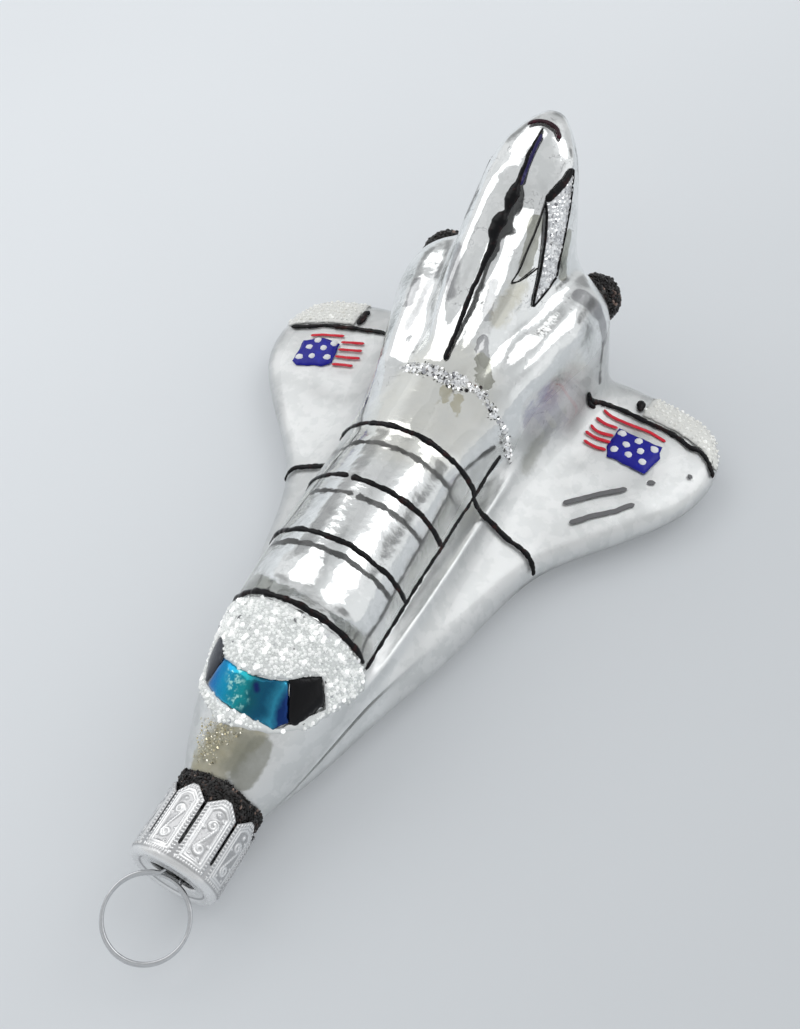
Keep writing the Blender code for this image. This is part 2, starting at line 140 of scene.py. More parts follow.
class Board:
    """A node tree, written as Python."""

    def __init__(self, tree):
        self.tree = tree

    def node(self, kind, settings=None, inputs=None, output=0):
        node = self.tree.nodes.new(kind)
        for key, value in (settings or {}).items():
            setattr(node, key, value)
        for key, value in (inputs or {}).items():
            self.feed(node.inputs[key], value)
        return Wire(self, node.outputs[output])

    def feed(self, socket, value):
        if isinstance(value, Wire):
            self.tree.links.new(value.socket, socket)
        else:
            socket.default_value = value

    def math(self, operation, *values):
        return self.node("ShaderNodeMath", {"operation": operation}, dict(enumerate(values)))

    def vector(self, operation, first, second):
        """Vector maths. A scale takes its factor by the fourth input."""
        second_input = 3 if operation == "SCALE" else 1
        output = "Value" if operation in ("DOT_PRODUCT", "DISTANCE") else "Vector"
        inputs = {0: first, second_input: second}
        return self.node("ShaderNodeVectorMath", {"operation": operation}, inputs, output)

    def part(self, vector, axis):
        return self.node("ShaderNodeSeparateXYZ", {}, {0: vector}, axis)

    def ramp(self, value, stops):
        """Colours or greys at positions from 0 to 1."""
        wire = self.node("ShaderNodeValToRGB", {}, {0: value})
        elements = wire.socket.node.color_ramp.elements
        while len(elements) < len(stops):
            elements.new(1.0)
        for element, (position, tone) in zip(elements, stops):
            element.position = position
            element.color = (*tone, 1) if isinstance(tone, tuple) else (tone, tone, tone, 1)
        return wire

    def blend(self, factor, first, second, how="MIX"):
        """A mix of two colours."""
        inputs = {0: factor, 6: solid(first), 7: solid(second)}
        return self.node("ShaderNodeMix", {"data_type": "RGBA", "blend_type": how}, inputs, 2)

    def fade(self, value, low, high):
        """0 below low, 1 above high and smooth between them."""
        inputs = {0: value, 1: low, 2: high}
        return self.node("ShaderNodeMapRange", {"interpolation_type": "SMOOTHSTEP"}, inputs)


class Finish(Board):
    """A material: a Principled shader and the nodes that feed it."""

    def __init__(self, name, **plain):
        self.material = bpy.data.materials.new(name)
        self.material.use_nodes = True
        super().__init__(self.material.node_tree)
        self.shader = self.tree.nodes["Principled BSDF"]
        for key, value in plain.items():
            self.set(key.replace("_", " ").title().replace("Ior", "IOR"), solid(value))
        self.where = self.node("ShaderNodeTexCoord", output="Object")

    def set(self, name, value):
        self.feed(self.shader.inputs[name], value)

    def attribute(self, name):
        return self.node("ShaderNodeAttribute", {"attribute_name": name}, output="Fac")

    def clouds(self, size, detail=2.0, rough=0.5, seed=0.0):
        """Soft noise from 0 to 1 whose blobs are about size millimetres across."""
        inputs = {
            "Vector": self.where, "W": seed, "Scale": 1 / (size * MM), "Detail": detail, "Roughness": rough,
        }
        return self.node("ShaderNodeTexNoise", {"noise_dimensions": "4D"}, inputs)

    def bump(self, height, depth):
        """Relief whose full height is depth millimetres."""
        self.set("Normal", self.node("ShaderNodeBump", {}, {"Height": height, "Distance": depth * MM}))


class Recipe(Board):
    """A geometry node group. `given` holds a wire for each input, in the order of the inputs."""

    def __init__(self, name, **sockets):
        super().__init__(bpy.data.node_groups.new(name, "GeometryNodeTree"))
        new_socket = self.tree.interface.new_socket
        for word, kind in sockets.items():
            new_socket(word.replace("_", " "), in_out="INPUT", socket_type="NodeSocket" + kind)
        new_socket("Result", in_out="OUTPUT", socket_type="NodeSocketGeometry")
        outputs = self.tree.nodes.new("NodeGroupInput").outputs
        self.given = [Wire(self, outputs[k]) for k in range(len(sockets))]

    def step(self, kind, output=0, **given):
        """A geometry node. Names in lower case are its settings, the others are its inputs."""
        settings = {key: value for key, value in given.items() if key.islower()}
        inputs = {key.replace("_", " "): value for key, value in given.items() if not key.islower()}
        return self.node("GeometryNode" + kind, settings, inputs, output)

    def finished(self, wire, material):
        """The group with its result: real geometry in one material."""
        real = self.step("RealizeInstances", Geometry=wire)
        painted = self.step("SetMaterial", Geometry=real, Material=material)
        self.feed(self.tree.nodes.new("NodeGroupOutput").inputs[0], painted)
        return self.tree


# %% [markdown]
# These make, keep and join meshes. Every finished piece goes through `dress`.

# %% Meshes and pieces


def keep(name, data, material=None):
    """Links a new object to the scene."""
    obj = bpy.data.objects.new(name, data)
    bpy.context.scene.collection.objects.link(obj)
    if material:
        obj.data.materials.clear()
        obj.data.materials.append(material)
    return obj


def evaluated(obj):
    bpy.context.view_layer.update()
    return bpy.data.meshes.new_from_object(obj.evaluated_get(bpy.context.evaluated_depsgraph_get()))


def grown(tree, carrier, name, values):
    """Runs a geometry tree on the carrier and returns its result as a plain mesh object."""
    modifier = carrier.modifiers.new(tree.name, "NODES")
    modifier.node_group = tree
    for item in tree.interface.items_tree:
        if item.in_out == "INPUT" and item.name in values:
            modifier[item.identifier] = values[item.name]
    mesh = evaluated(carrier)
    bpy.data.objects.remove(carrier)
    return keep(name, mesh)


def mesh_from(bm, name):
    """The mesh of a bmesh, which is freed."""
    mesh = bpy.data.meshes.new(name)
    bm.to_mesh(mesh)
    bm.free()
    return mesh


def strips(bm, rows, closed=True, flip=False):
    """Quads between each row of vertices and the next."""
    count = len(rows[0])
    for near, far in zip(rows, rows[1:]):
        for k in range(count if closed else count - 1):
            following = (k + 1) % count
            corners = (near[k], near[following], far[following], far[k])
            bm.faces.new((corners[0], *corners[:0:-1]) if flip else corners)


def joined(name, pieces):
    """One object from several, which keep their materials."""
    bm = bmesh.new()
    slots = []
    for piece in pieces:
        for material in piece.data.materials:
            if material not in slots:
                slots.append(material)
        copy = piece.data.copy()
        order = [slots.index(m) for m in piece.data.materials]
        for polygon in copy.polygons:
            polygon.material_index = order[polygon.material_index] if order else 0
        bm.from_mesh(copy)
        bpy.data.meshes.remove(copy)
        bpy.data.objects.remove(piece)
    data = mesh_from(bm, name)
    for material in slots:
        data.materials.append(material)
    return keep(name, data)


def dress(piece, slot, *nodes, body="glass"):
    """Says which body a piece rides on and which nodes it stands for. Its material slot is not used."""
    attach(piece, body)
    if nodes:
        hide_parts(*nodes)
    print(piece.name, "has", len(piece.data.polygons), "faces")
    return piece


# %% [markdown]
# Glass like this shows the room more than itself. The photograph was taken in soft daylight
# on a pale cloth, so the floor is pale grey and the sky is bright and almost even. The
# floor's colour holds painted shade that darkens it towards one side, and the floor glows
# faintly in its own colour: painted light that lifts its shadows. Lighter and darker patches
# in the sky and two large soft lamps draw the shapes on the silver.

# %% Floor and light
FLOOR_SIZE = 3.0
# Painted shade on the floor: the paper darkens along this direction, from the lit colour to the shaded one.
PAINTED_SHADE_DIRECTION = (0.96, -0.28, 0)
PAPER, SHADED_PAPER = (0.715, 0.74, 0.765), (0.51, 0.53, 0.55)
SKY_LEVELS = ((0.0, 0.90), (0.5, 1.00), (0.60, 0.95), (0.80, 0.86), (1.0, 0.92))
SKY_PATCHES = (
    ((0.42, 0.48, 0.77), 12, 34, 1.25),
    ((-0.90, 0.10, 0.30), 16, 40, 1.15),
    ((0.90, 0.30, 0.10), 14, 42, 1.25),
    ((-0.34, 0.50, 0.80), 4, 14, 0.55),
    ((0.33, -0.50, 0.80), 7, 24, 0.80),
    ((-0.10, 0.95, 0.22), 6, 20, 0.45),
    ((0.60, 0.75, 0.25), 4, 13, 0.35),
    ((-0.75, 0.62, 0.20), 4, 14, 0.45),
)
SKY_TINT = (0.965, 0.985, 1.0)
SKY_STRENGTH = 0.70
LAMPS = {
    "window": ((-0.55, 0.20, 0.70), 0.85, 0.67, 1.6),
    "ceiling_panel": ((0.35, 0.42, 0.66), 0.58, 0.50, 0.9),
}
LIGHT_BOUNCES = {"max_bounces": 32, "glossy_bounces": 24, "transmission_bounces": 32}


def pale_floor():
    """Paper, a little cloudy, with painted shade that darkens it towards one side and a painted glow."""
    # Painted light: the floor glows faintly in its own colour, which lifts its shadows.
    finish = Finish("floor_paper", roughness=0.8, emission_strength=0.23)
    # Painted shade: the paper darkens towards one side, on top of its cloudy tone.
    across = finish.vector("DOT_PRODUCT", finish.where, PAINTED_SHADE_DIRECTION)
    drift = finish.clouds(160, 3) * 0.3 + finish.fade(across, -0.13, 0.13) * 0.85
    paper = finish.blend(drift, PAPER, SHADED_PAPER)
    finish.set("Base Color", paper)
    finish.set("Emission Color", paper)
    bm = bmesh.new()
    bmesh.ops.create_grid(bm, x_segments=8, y_segments=8, size=FLOOR_SIZE / 2)
    return keep("floor", mesh_from(bm, "floor"), finish.material)


def room_light():
    """A bright even sky with soft patches: direction, inner and outer angle, brightness."""
    world = bpy.data.worlds.new("soft_room")
    bpy.context.scene.world = world
    world.use_nodes = True
    sky = Board(world.node_tree)
    view = sky.node("ShaderNodeTexCoord", output="Generated")
    level = sky.ramp(sky.part(view, "Z") * 0.5 + 0.5, SKY_LEVELS)
    for direction, inner, outer, value in SKY_PATCHES:
        facing = sky.vector("DOT_PRODUCT", view, Vector(direction).normalized())
        mask = sky.fade(facing, math.cos(math.radians(outer)), math.cos(math.radians(inner)))
        level = sky.blend(mask, level, (value, value, value))
    background = world.node_tree.nodes["Background"]
    sky.feed(background.inputs["Color"], sky.blend(1.0, level, SKY_TINT, "MULTIPLY"))
    sky.feed(background.inputs["Strength"], SKY_STRENGTH)


def soft_lamp(name, place, width, height, power):
    """A rectangular lamp that faces the object: metres and watts."""
    data = bpy.data.lights.new(name, "AREA")
    data.shape = "RECTANGLE"
    data.size = width
    data.size_y = height
    data.energy = power
    lamp = keep(name, data)
    lamp.location = place
    lamp.rotation_euler = (-Vector(place)).to_track_quat("-Z", "Y").to_euler()


pale_floor()
room_light()
for name, lamp in LAMPS.items():
    soft_lamp(name, *lamp)
bpy.context.scene.view_settings.view_transform = "Standard"
for limit, count in LIGHT_BOUNCES.items():
    setattr(bpy.context.scene.cycles, limit, count)
print("lamps:", len(LAMPS))

# %% [markdown]
# The body is one blown shape: neck, nose, payload bay, wings, fin and two pods. A coarse
# cage of sections from nose to tail, smoothed by a Subdivision Surface, gives the soft,
# puffed edges that glass takes in a mould. Each section has 14 points from the ridge over
# the side to the keel, and the other half mirrors it.

# %% Body cage
DOME_ANGLES = (90, 72, 54, 36, 18, 0)
LAST = 13
FIN_BULGE = 3.4
TAIL_BULGE = 1.4
SECTION_COLUMNS = (
    "low", "side", "ridge", "plain", "half", "shoulder", "crown",
    "reach", "edge", "edge_half", "belly", "root", "fin_top", "fin_half",
)
SECTIONS = (
    (1.0, 1.0, 1.0, 1.0, 4.9, 7.6, 12.55, 4.9, 7.0, 1.5, 2.75, 0.3, 0, 0),
    (6.0, 6.0, 6.0, 1.0, 4.9, 7.6, 12.55, 4.9, 7.0, 1.5, 2.75, 0.3, 0, 0),
    (10.6, 10.6, 10.6, 1.0, 5.0, 7.6, 12.6, 5.0, 7.0, 1.5, 2.75, 0.3, 0, 0),
    (14.0, 14.0, 14.0, 0.7, 6.9, 8.6, 15.0, 7.2, 6.5, 2.2, 1.2, 0.3, 0, 0),
    (19.0, 19.0, 19.0, 0.3, 8.3, 10.6, 18.2, 9.0, 6.0, 3.0, 0.5, 0.3, 0, 0),
    (25.0, 25.0, 25.0, 0.1, 9.4, 12.6, 21.6, 10.6, 5.6, 3.4, 0.1, 0.3, 0, 0),
    (33.0, 33.0, 33.0, 0.0, 10.2, 14.8, 24.6, 12.4, 5.2, 3.4, 0.0, 0.3, 0, 0),
    (43.5, 43.5, 43.5, 0.0, 10.4, 15.0, 24.8, 16.2, 4.8, 3.2, 0.0, 0.3, 0, 0),
    (53.0, 53.0, 53.0, 0.0, 10.5, 15.0, 24.8, 18.2, 4.6, 3.2, 0.0, 0.3, 0, 0),
    (62.0, 62.5, 63.0, 0.0, 10.6, 15.0, 24.8, 20.6, 4.4, 3.0, 0.0, 0.3, 0, 0),
    (69.0, 70.5, 73.0, 0.0, 10.8, 15.0, 24.9, 26.4, 4.2, 3.0, 0.0, 0.25, 0, 0),
    (76.0, 78.0, 80.5, 0.0, 12.4, 15.4, 25.4, 33.2, 4.2, 3.0, 0.0, 0.16, 29.0, 4.4),
    (82.0, 85.0, 90.5, 0.0, 14.6, 16.4, 26.0, 36.8, 4.2, 3.0, 0.0, 0.09, 35.2, 6.6),
    (89.0, 92.0, 99.5, 0.0, 16.2, 17.0, 26.6, 37.6, 4.2, 3.0, 0.0, 0.06, 39.8, 7.6),
    (94.0, 97.5, 106.5, 0.0, 16.2, 17.0, 26.2, 35.6, 4.2, 2.8, 0.0, 0.06, 43.8, 7.6),
    (97.5, 102.0, 110.3, 0.0, 13.6, 15.8, 23.4, 32.0, 4.2, 2.2, 0.4, 0.1, 42.8, 5.6),
)


def dome_point(row, k):
    """A point on the rounded top, or on the fin and pod where the section has them."""
    half, crown, shoulder = row["half"], row["crown"], row["shoulder"]
    if not row["fin_top"]:
        angle = math.radians(DOME_ANGLES[k])
        return half * math.cos(angle), shoulder + (crown - shoulder) * math.sin(angle)
    fin_half = row["fin_half"]
    return {
        0: (0.0, row["fin_top"]),
        1: (fin_half, row["fin_top"] - 0.45 * fin_half),
        2: (fin_half + 0.4, crown - 1.4),
        3: (0.76 * half, crown),
        4: (0.99 * half, 0.5 * (crown + shoulder) + 0.8),
        5: (half, shoulder),
    }[k]


def side_point(row, k):
    """A point on the flank, the wing or the belly."""
    half, reach, edge, thick = row["half"], row["reach"], row["edge"], row["edge_half"]
    span = reach - half
    top = edge + thick
    rise = row["shoulder"] - top
    steep = 1 - row["root"] / 0.3
    return {
        6: (half + 0.10 * (1 - steep) * span, top + (0.60 - 0.20 * steep) * rise),
        7: (half + row["root"] * span, top + (0.22 - 0.14 * steep) * rise),
        8: (half + (0.65 - 0.25 * steep) * span, top + 0.04 * rise),
        9: (reach - 0.45 * thick, edge + 0.85 * thick),
        10: (reach, edge),
        11: (reach - 0.45 * thick, edge - 0.85 * thick),
        12: (0.55 * reach, row["belly"] + 0.15),
        13: (0.0, row["belly"]),
    }[k]


def section_point(row, k):
    x, z = dome_point(row, k) if k <= 5 else side_point(row, k)
    radius = 0.5 * (row["crown"] - row["belly"])
    middle = 0.5 * (row["crown"] + row["belly"])
    turn = math.radians(90 - 180 * k / LAST)
    plain = row["plain"]
    x = plain * radius * math.cos(turn) + (1 - plain) * x
    z = plain * (middle + radius * math.sin(turn)) + (1 - plain) * z
    if k <= 1:
        y = row["ridge"]
    elif k == 2:
        y = 0.45 * row["ridge"] + 0.55 * row["side"]
    else:
        y = row["side"] if k <= 6 else row["low"]
    return x, y, z


def body_cage():
    """Rings of quads from the neck's rim to the tail, and strips across the tail."""
    bm = bmesh.new()
    rings = []
    for values in SECTIONS:
        row = dict(zip(SECTION_COLUMNS, values))
        right_half = [section_point(row, k) for k in range(LAST + 1)]
        left_half = [(-x, y, z) for x, y, z in reversed(right_half[1:LAST])]
        rings.append([bm.verts.new(at(*point)) for point in right_half + left_half])
    strips(bm, rings)
    tail = rings[-1]
    middles = {}
    for k in range(1, LAST):
        bulge = FIN_BULGE if k <= 2 else TAIL_BULGE
        middles[k] = bm.verts.new((0, tail[k].co.y + bulge * MM, tail[k].co.z))
    tail[0].co.y += FIN_BULGE * MM
    for side in (1, -1):
        ring = [tail[side * k] for k in range(LAST + 1)]
        bm.faces.new((ring[0], ring[1], middles[1]))
        bm.faces.new((ring[LAST], ring[LAST - 1], middles[LAST - 1]))
        for k in range(1, LAST - 1):
            bm.faces.new((ring[k], ring[k + 1], middles[k + 1], middles[k]))
    bm.faces.new(rings[0])
    bmesh.ops.recalc_face_normals(bm, faces=bm.faces)
    return mesh_from(bm, "cage")


# %% [markdown]
# The smooth skin gets shallow dents, stronger towards the tail, where the glass was hottest
# when it left the mould. The silver lies behind it at the wall's depth: thin glass at the
# nose, over 2 mm at the bay. That gap is what doubles every painted line with a grey twin.

# %% Fine glass and silver
FINE_LEVELS = 3
NOSE_WALL, WING_WALL, ROOT_WALL, FIN_WALL, RIDGE_WALL = 0.6, 0.3, 0.8, 0.5, 1.6
BAY_WALL, BAY_WALL_GAIN = 2.1, 1.7
WALL_LIMIT = 0.36
JUST_INSIDE = 0.05


def fine_skin():
    """The cage after smoothing."""
    cage = keep("cage", body_cage())
    smooth = cage.modifiers.new("smooth", "SUBSURF")
    smooth.levels = FINE_LEVELS
    smooth.render_levels = FINE_LEVELS
    mesh = evaluated(cage)
    bpy.data.objects.remove(cage)
    return mesh


def vectors_of(mesh, what):
    """Each vertex's place, which Blender calls co, or its normal."""
    flat = np.empty(len(mesh.vertices) * 3, np.float32)
    mesh.vertices.foreach_get(what, flat)
    return flat.reshape(-1, 3).astype(float)


def move_to(mesh, places):
    mesh.vertices.foreach_set("co", places.astype(np.float32).ravel())
    mesh.update()
    mesh.shade_smooth()


def ramp(value, first, last):
    """0 at first, 1 at last and straight between them."""
    return np.clip((value - first) / (last - first), 0, 1)


def dented(mesh, depth_front, depth_tail, size, seed):
    """Dents of two depths, before and behind the middle, and none on the neck."""
    places = vectors_of(mesh, "co")
    y = (places[:, 1] - CAP_FACE) / MM
    tail = ramp(y, 66, 78)
    depth = (depth_front * (1 - tail) + depth_tail * tail) * ramp(y, 13, 21)
    offset = Vector((seed * 7.1, seed * 3.7, seed * 5.3))
    waves = np.array([noise.noise(Vector(p) / (size * MM) + offset) for p in places])
    shift = (waves - 0.3) * depth * MM
    move_to(mesh, places + vectors_of(mesh, "normal") * shift[:, None])


def tree_of(mesh):
    return BVHTree.FromPolygons([v.co for v in mesh.vertices], [p.vertices for p in mesh.polygons])


def silver_skin(glass):
    """A copy of the glass moved inwards by the wall, and by less where the shape is thin."""
    silver = glass.copy()
    tree = tree_of(glass)
    places = vectors_of(glass, "co")
    facing = vectors_of(glass, "normal")
    y = (places[:, 1] - CAP_FACE) / MM
    z = places[:, 2] / MM
    x = abs(places[:, 0]) / MM
    nose = ramp(y, 36, 30)
    root = ramp(y, 48, 60) * ramp(y, 76, 64) * ramp(x, 11, 13) * ramp(x, 26, 20)
    fin = ramp(y, 73, 77) * ramp(y, 106, 102) * ramp(z, 26, 30)
    fin_wall = FIN_WALL + (RIDGE_WALL - FIN_WALL) * ramp(x, 4.5, 1.5) * ramp(y, 101, 97)
    bay = ramp(y, 30, 36) * ramp(y, 75, 64) * ramp(z, 11.5, 14) * ramp(x, 13, 12)
    bay_wall = BAY_WALL + BAY_WALL_GAIN * ramp(y, 40, 65)
    wall = np.full(len(y), WING_WALL)
    for share, depth in ((nose, NOSE_WALL), (root, ROOT_WALL), (fin, fin_wall), (bay, bay_wall)):
        wall += share * (depth - wall)
    wall *= MM
    for k, (place, normal) in enumerate(zip(places, facing)):
        start = Vector(place - normal * JUST_INSIDE * MM)
        room = tree.ray_cast(start, Vector(-normal))[3]
        if room is not None:
            wall[k] = min(wall[k], WALL_LIMIT * room)
    move_to(silver, places - facing * wall[:, None])
    return silver


glass_mesh = fine_skin()
dented(glass_mesh, 0.05, 0.22, 8.0, 1)
silver_mesh = silver_skin(glass_mesh)
dented(silver_mesh, 0.05, 0.34, 6.0, 5)
glass_tree = tree_of(glass_mesh)
print("glass:", len(glass_mesh.polygons), "faces")

# %% [markdown]
# Two finishes work together here. The outer one is clear glass: colourless, very smooth,
# with a faint ripple. The inner one is the mirror: bright, a little satin, yellowed where
# the silvering ran thin. Both have their detail from noise in the object's own space.

# %% Glass and silver finishes
KHAKI, OLIVE, ASH = (0.56, 0.52, 0.37), (0.33, 0.33, 0.27), (0.34, 0.34, 0.35)
CREAM, DARK = (0.87, 0.86, 0.80), (0.06, 0.05, 0.05)
STAINS_AND_PAINTED_LIGHT = (
    ((1.0, 17.9, 16.4), (-1.7, 12.6, 13.2), 2.2, 1.0, 0.9, 0.9, KHAKI),
    ((2.2, 16.8, 16.0), (1.6, 13.8, 14.2), 0.5, 1.6, 0.8, 0.7, OLIVE),
    ((3.8, 16.9, 15.3), (3.2, 13.6, 13.2), 1.4, 0.5, 0.4, 0.75, OLIVE),
    ((0, 66.0, 22.5), (1.5, 72, 23.5), 5.5, 4.0, 1.0, 0.8, CREAM),
    ((2.0, 72.4, 23.6), (1.9, 69.0, 23.2), 0.7, 0.2, 0.8, 0.8, KHAKI),
    ((3.9, 71.8, 23.2), (4.5, 69.4, 22.6), 0.8, 0.2, 0.8, 0.8, KHAKI),
    ((2.8, 72.6, 23.6), (3.1, 68.7, 23), 0.16, 0.2, 0.35, 0.9, DARK),
    ((1.4, 70.4, 23.4), (4.8, 70.4, 22.6), 0.12, 0.2, 0.45, 0.8, DARK),
    ((-6.3, 68.4, 21.0), (-6.0, 66.4, 20.8), 0.25, 0.2, 0.3, 0.8, DARK),
    ((8.7, 67.6, 17.8), (8.6, 65.0, 17.4), 0.7, 0.3, 0.8, 0.85, OLIVE),
    # Painted reflection: these two streaks beside the fin's right foot form a khaki-grey patch with a sharp
    # ragged edge.
    ((3.5, 80.2, 26.2), (4.8, 78.0, 24.8), 0.9, 0.15, 0.7, 0.85, ASH),
    ((4.8, 77.8, 24.8), (6.0, 76.0, 23.6), 1.3, 0.15, 0.8, 0.8, OLIVE),
    ((1.9, 87.0, 30.6), (2.8, 83.2, 28.2), 0.7, 0.2, 0.6, 0.6, ASH),
    ((4.2, 96.5, 35.0), (5.1, 90.6, 31.2), 0.9, 0.2, 0.3, 0.8, OLIVE),
    ((4.8, 88.6, 29.4), (4.2, 84.0, 27.8), 0.8, 1.2, 0.9, 0.5, KHAKI),
    ((7.6, 100.2, 30.5), (8.6, 96.4, 26.9), 0.9, 0.3, 0.3, 0.8, OLIVE),
    ((-5.2, 90.8, 31.2), (-3.3, 84.2, 29.2), 0.6, 0.8, 0.5, 0.85, ASH),
    ((-10.9, 88.4, 25.1), (-10.2, 84.2, 24.7), 0.4, 0.4, 0.4, 0.85, ASH),
    ((-9.0, 92.0, 26.0), (-8.4, 80.0, 24.4), 0.3, 0.5, 0.6, 0.6, ASH),
    ((12.0, 95.0, 25.3), (14.4, 95.2, 23.0), 1.2, 0.5, 0.3, 0.85, ASH),
    ((14.4, 95.2, 23.0), (15.7, 94.8, 18.0), 0.8, 0.5, 0.3, 0.85, ASH),
    ((16.0, 94.2, 17.8), (16.4, 92.6, 11.6), 0.3, 0.4, 0.3, 0.85, DARK),
    # Painted shade: an olive band along the junction of the right wing and the flank.
    ((13.2, 84.0, 12.8), (13.0, 74.0, 11.0), 0.5, 1.5, 0.9, 0.5, OLIVE),
)


def clear_glass():
    finish = Finish(
        "clear_glass", base_color=(0.985, 0.99, 0.99), roughness=0.015, ior=1.5, transmission_weight=1.0
    )
    finish.bump(finish.clouds(9, 2, 0.4) * 0.8 + finish.clouds(1.6, 1, 0.5, 2) * 0.06, 0.08)
    return finish.material


def streak(finish, wander, start, end, radius, soft, rough):
    """1 within radius millimetres of the stretch between two places, with a ragged edge."""
    first = at(*start)
    along = at(*end) - first
    offset = finish.vector("SUBTRACT", finish.where, first)
    reach = finish.vector("DOT_PRODUCT", offset, along / along.length_squared)
    reach = finish.node("ShaderNodeClamp", {}, {0: reach})
    distance = finish.vector("DISTANCE", offset, finish.vector("SCALE", along, reach))
    return 1 - finish.fade(distance / MM + wander * rough, radius, radius + soft)


def silvering():
    """Bright where the silver is whole, tinted where it is stained, with fine creases aft. Two streaks beside
    the fin's right foot are a painted reflection, and one band at the right wing root is painted shade.
    """
    finish = Finish("silvering", metallic=1.0)
    side = finish.math("ABSOLUTE", finish.part(finish.where, "X") / MM)
    length = finish.part(finish.where, "Y") / MM
    height = finish.part(finish.where, "Z") / MM
    grain = finish.clouds(2.5, 4, 0.6)
    tint = finish.blend(finish.fade(grain, 0.47, 0.53), (0.88, 0.89, 0.885), (0.95, 0.955, 0.95))
    crease = 1 - finish.fade(finish.math("ABSOLUTE", finish.clouds(5, 4, 0.62, 9) - 0.5), 0.0, 0.008)
    aft = finish.fade(length, -2, 14) * finish.fade(height, 9, 15)
    tint = finish.blend(crease * finish.fade(grain, 0.5, 0.56) * aft * 0.55, tint, ASH)
    wander = (finish.clouds(1.4, 3, 0.6, 6) - 0.5) * 3
    for *shape, strength, colour in STAINS_AND_PAINTED_LIGHT:
        mask = streak(finish, wander, *shape)
        tint = finish.blend(mask * strength * (0.4 + 1.1 * grain), tint, colour)
    finish.set("Base Color", tint)
    wing = 1 - finish.fade(height, 13, 20)
    flank = finish.fade(side, 10.9, 12.2) * (1 - finish.fade(height, 21, 26))
    front = 1 - finish.fade(length, -34, -26)
    satin = 0.08 * finish.clouds(12, 2, 0.5, 3)
    finish.set("Roughness", 0.04 + 0.21 * wing + 0.14 * flank + 0.10 * front + satin)
    finish.bump(finish.clouds(6.5, 3, 0.5, 4) + 0.12 * finish.clouds(1.5, 3, 0.6, 8), 0.2)
    return finish.material


glass_shell = keep("glass_shell", glass_mesh, clear_glass())
dress(glass_shell, "silvered_glass", "glass_body")
silver_lining = keep("silver_lining", silver_mesh, silvering())
dress(silver_lining, "silvered_glass")

# %% [markdown]
# Paint lines are drawn by hand with a fine brush and thick enamel: they stand up from the
# glass, swell and thin, and have round ends. One Geometry Nodes tree draws them all. It pulls
# a rough path onto the glass, gives it an uneven width and sweeps a flat dome along it.

# %% Paint stroke tree
PATH_STEP = 0.2
PROFILE_SIDES = 12


def stroke_tree():
    """Lays a path on the glass and sweeps a dome along it. `under` marks the dome's floor."""
    board = Recipe(
        "paint_stroke", Path="Geometry", Glass="Object", Width="Float", Height="Float", Uneven="Float",
        Swell_Length="Float", Seed="Float", Paint="Material",
    )
    path, glass, width, height, uneven, swell, seed, paint = board.given
    surface = board.step("ObjectInfo", "Geometry", transform_space="RELATIVE", Object=glass)
    fine = board.step("ResampleCurve", mode="LENGTH", Curve=path, Length=PATH_STEP * MM)
    here = board.step("InputPosition")
    stray = {"Vector": here, "Scale": 0.5 / swell, "Detail": 3.0}
    stray = board.vector("SUBTRACT", board.node("ShaderNodeTexNoise", {}, stray, "Color"), (0.5, 0.5, 0.5))
    pulled = board.vector("ADD", here, board.vector("SCALE", stray, width * 0.9))
    nearest = {"data_type": "FLOAT_VECTOR", "Mesh": surface}
    place = board.step("SampleNearestSurface", Value=here, Sample_Position=pulled, **nearest)
    facing = board.step("SampleNearestSurface", Value=board.step("InputNormal"), **nearest)
    laid = board.step("SetPosition", Geometry=fine, Position=place)
    turned = board.step("SetCurveNormal", mode="FREE", Curve=laid, Normal=facing)
    wave = {"Vector": here, "W": seed, "Scale": 1 / swell, "Detail": 4.0, "Roughness": 0.62}
    wave = board.node("ShaderNodeTexNoise", {"noise_dimensions": "4D"}, wave)
    along = board.step("SplineParameter", "Length")
    tip = board.math("MINIMUM", along, board.step("SplineLength", "Length") - along)
    round_end = board.math("SQRT", board.fade(tip / width, -0.05, 0.6))
    half = width * 0.5
    radius = half * board.step("InputRadius") * (1 + uneven * (wave - 0.5) * 2) * round_end
    ring = board.step("CurvePrimitiveCircle", mode="RADIUS", Resolution=PROFILE_SIDES, Radius=1.0)
    lift = board.part(here, "X")
    dome = board.math("MAXIMUM", lift * (height / half), -0.12)
    flat = board.node("ShaderNodeCombineXYZ", {}, {"X": dome, "Y": lift.sibling("Y")})
    profile = board.step("SetPosition", Geometry=ring, Position=flat)
    marked = board.step("StoreNamedAttribute", Geometry=profile, Name="under", Value=lift < -0.05)
    swept = board.step("CurveToMesh", Curve=turned, Profile_Curve=marked, Scale=radius, Fill_Caps=True)
    return board.finished(board.step("SetShadeSmooth", Geometry=swept), paint)


STROKE = stroke_tree()


def path_curve(paths):
    """A curve object with one poly spline for each list of points."""
    data = bpy.data.curves.new("path", "CURVE")
    data.dimensions = "3D"
    for points in paths:
        spline = data.splines.new("POLY")
        spline.points.add(len(points) - 1)
        for target, point in zip(spline.points, points):
            target.co = (*at(*point[:3]), 1)
            target.radius = point[3] if len(point) > 3 else 1.0
    return keep("path", data)


def softened(points, steps=6):
    """Points on a smooth curve through the given ones."""
    ends = [points[0], *points, points[-1]]
    curve = []
    for a, b, c, d in zip(ends, ends[1:], ends[2:], ends[3:]):
        for k in range(steps):
            t = k / steps
            curve.append(tuple(
                0.5 * (
                    2 * q + (r - p) * t + (2 * p - 5 * q + 4 * r - s) * t * t + (3 * q - p - 3 * r + s) * t**3
                )
                for p, q, r, s in zip(a, b, c, d)
            ))
    return [*curve, points[-1]]


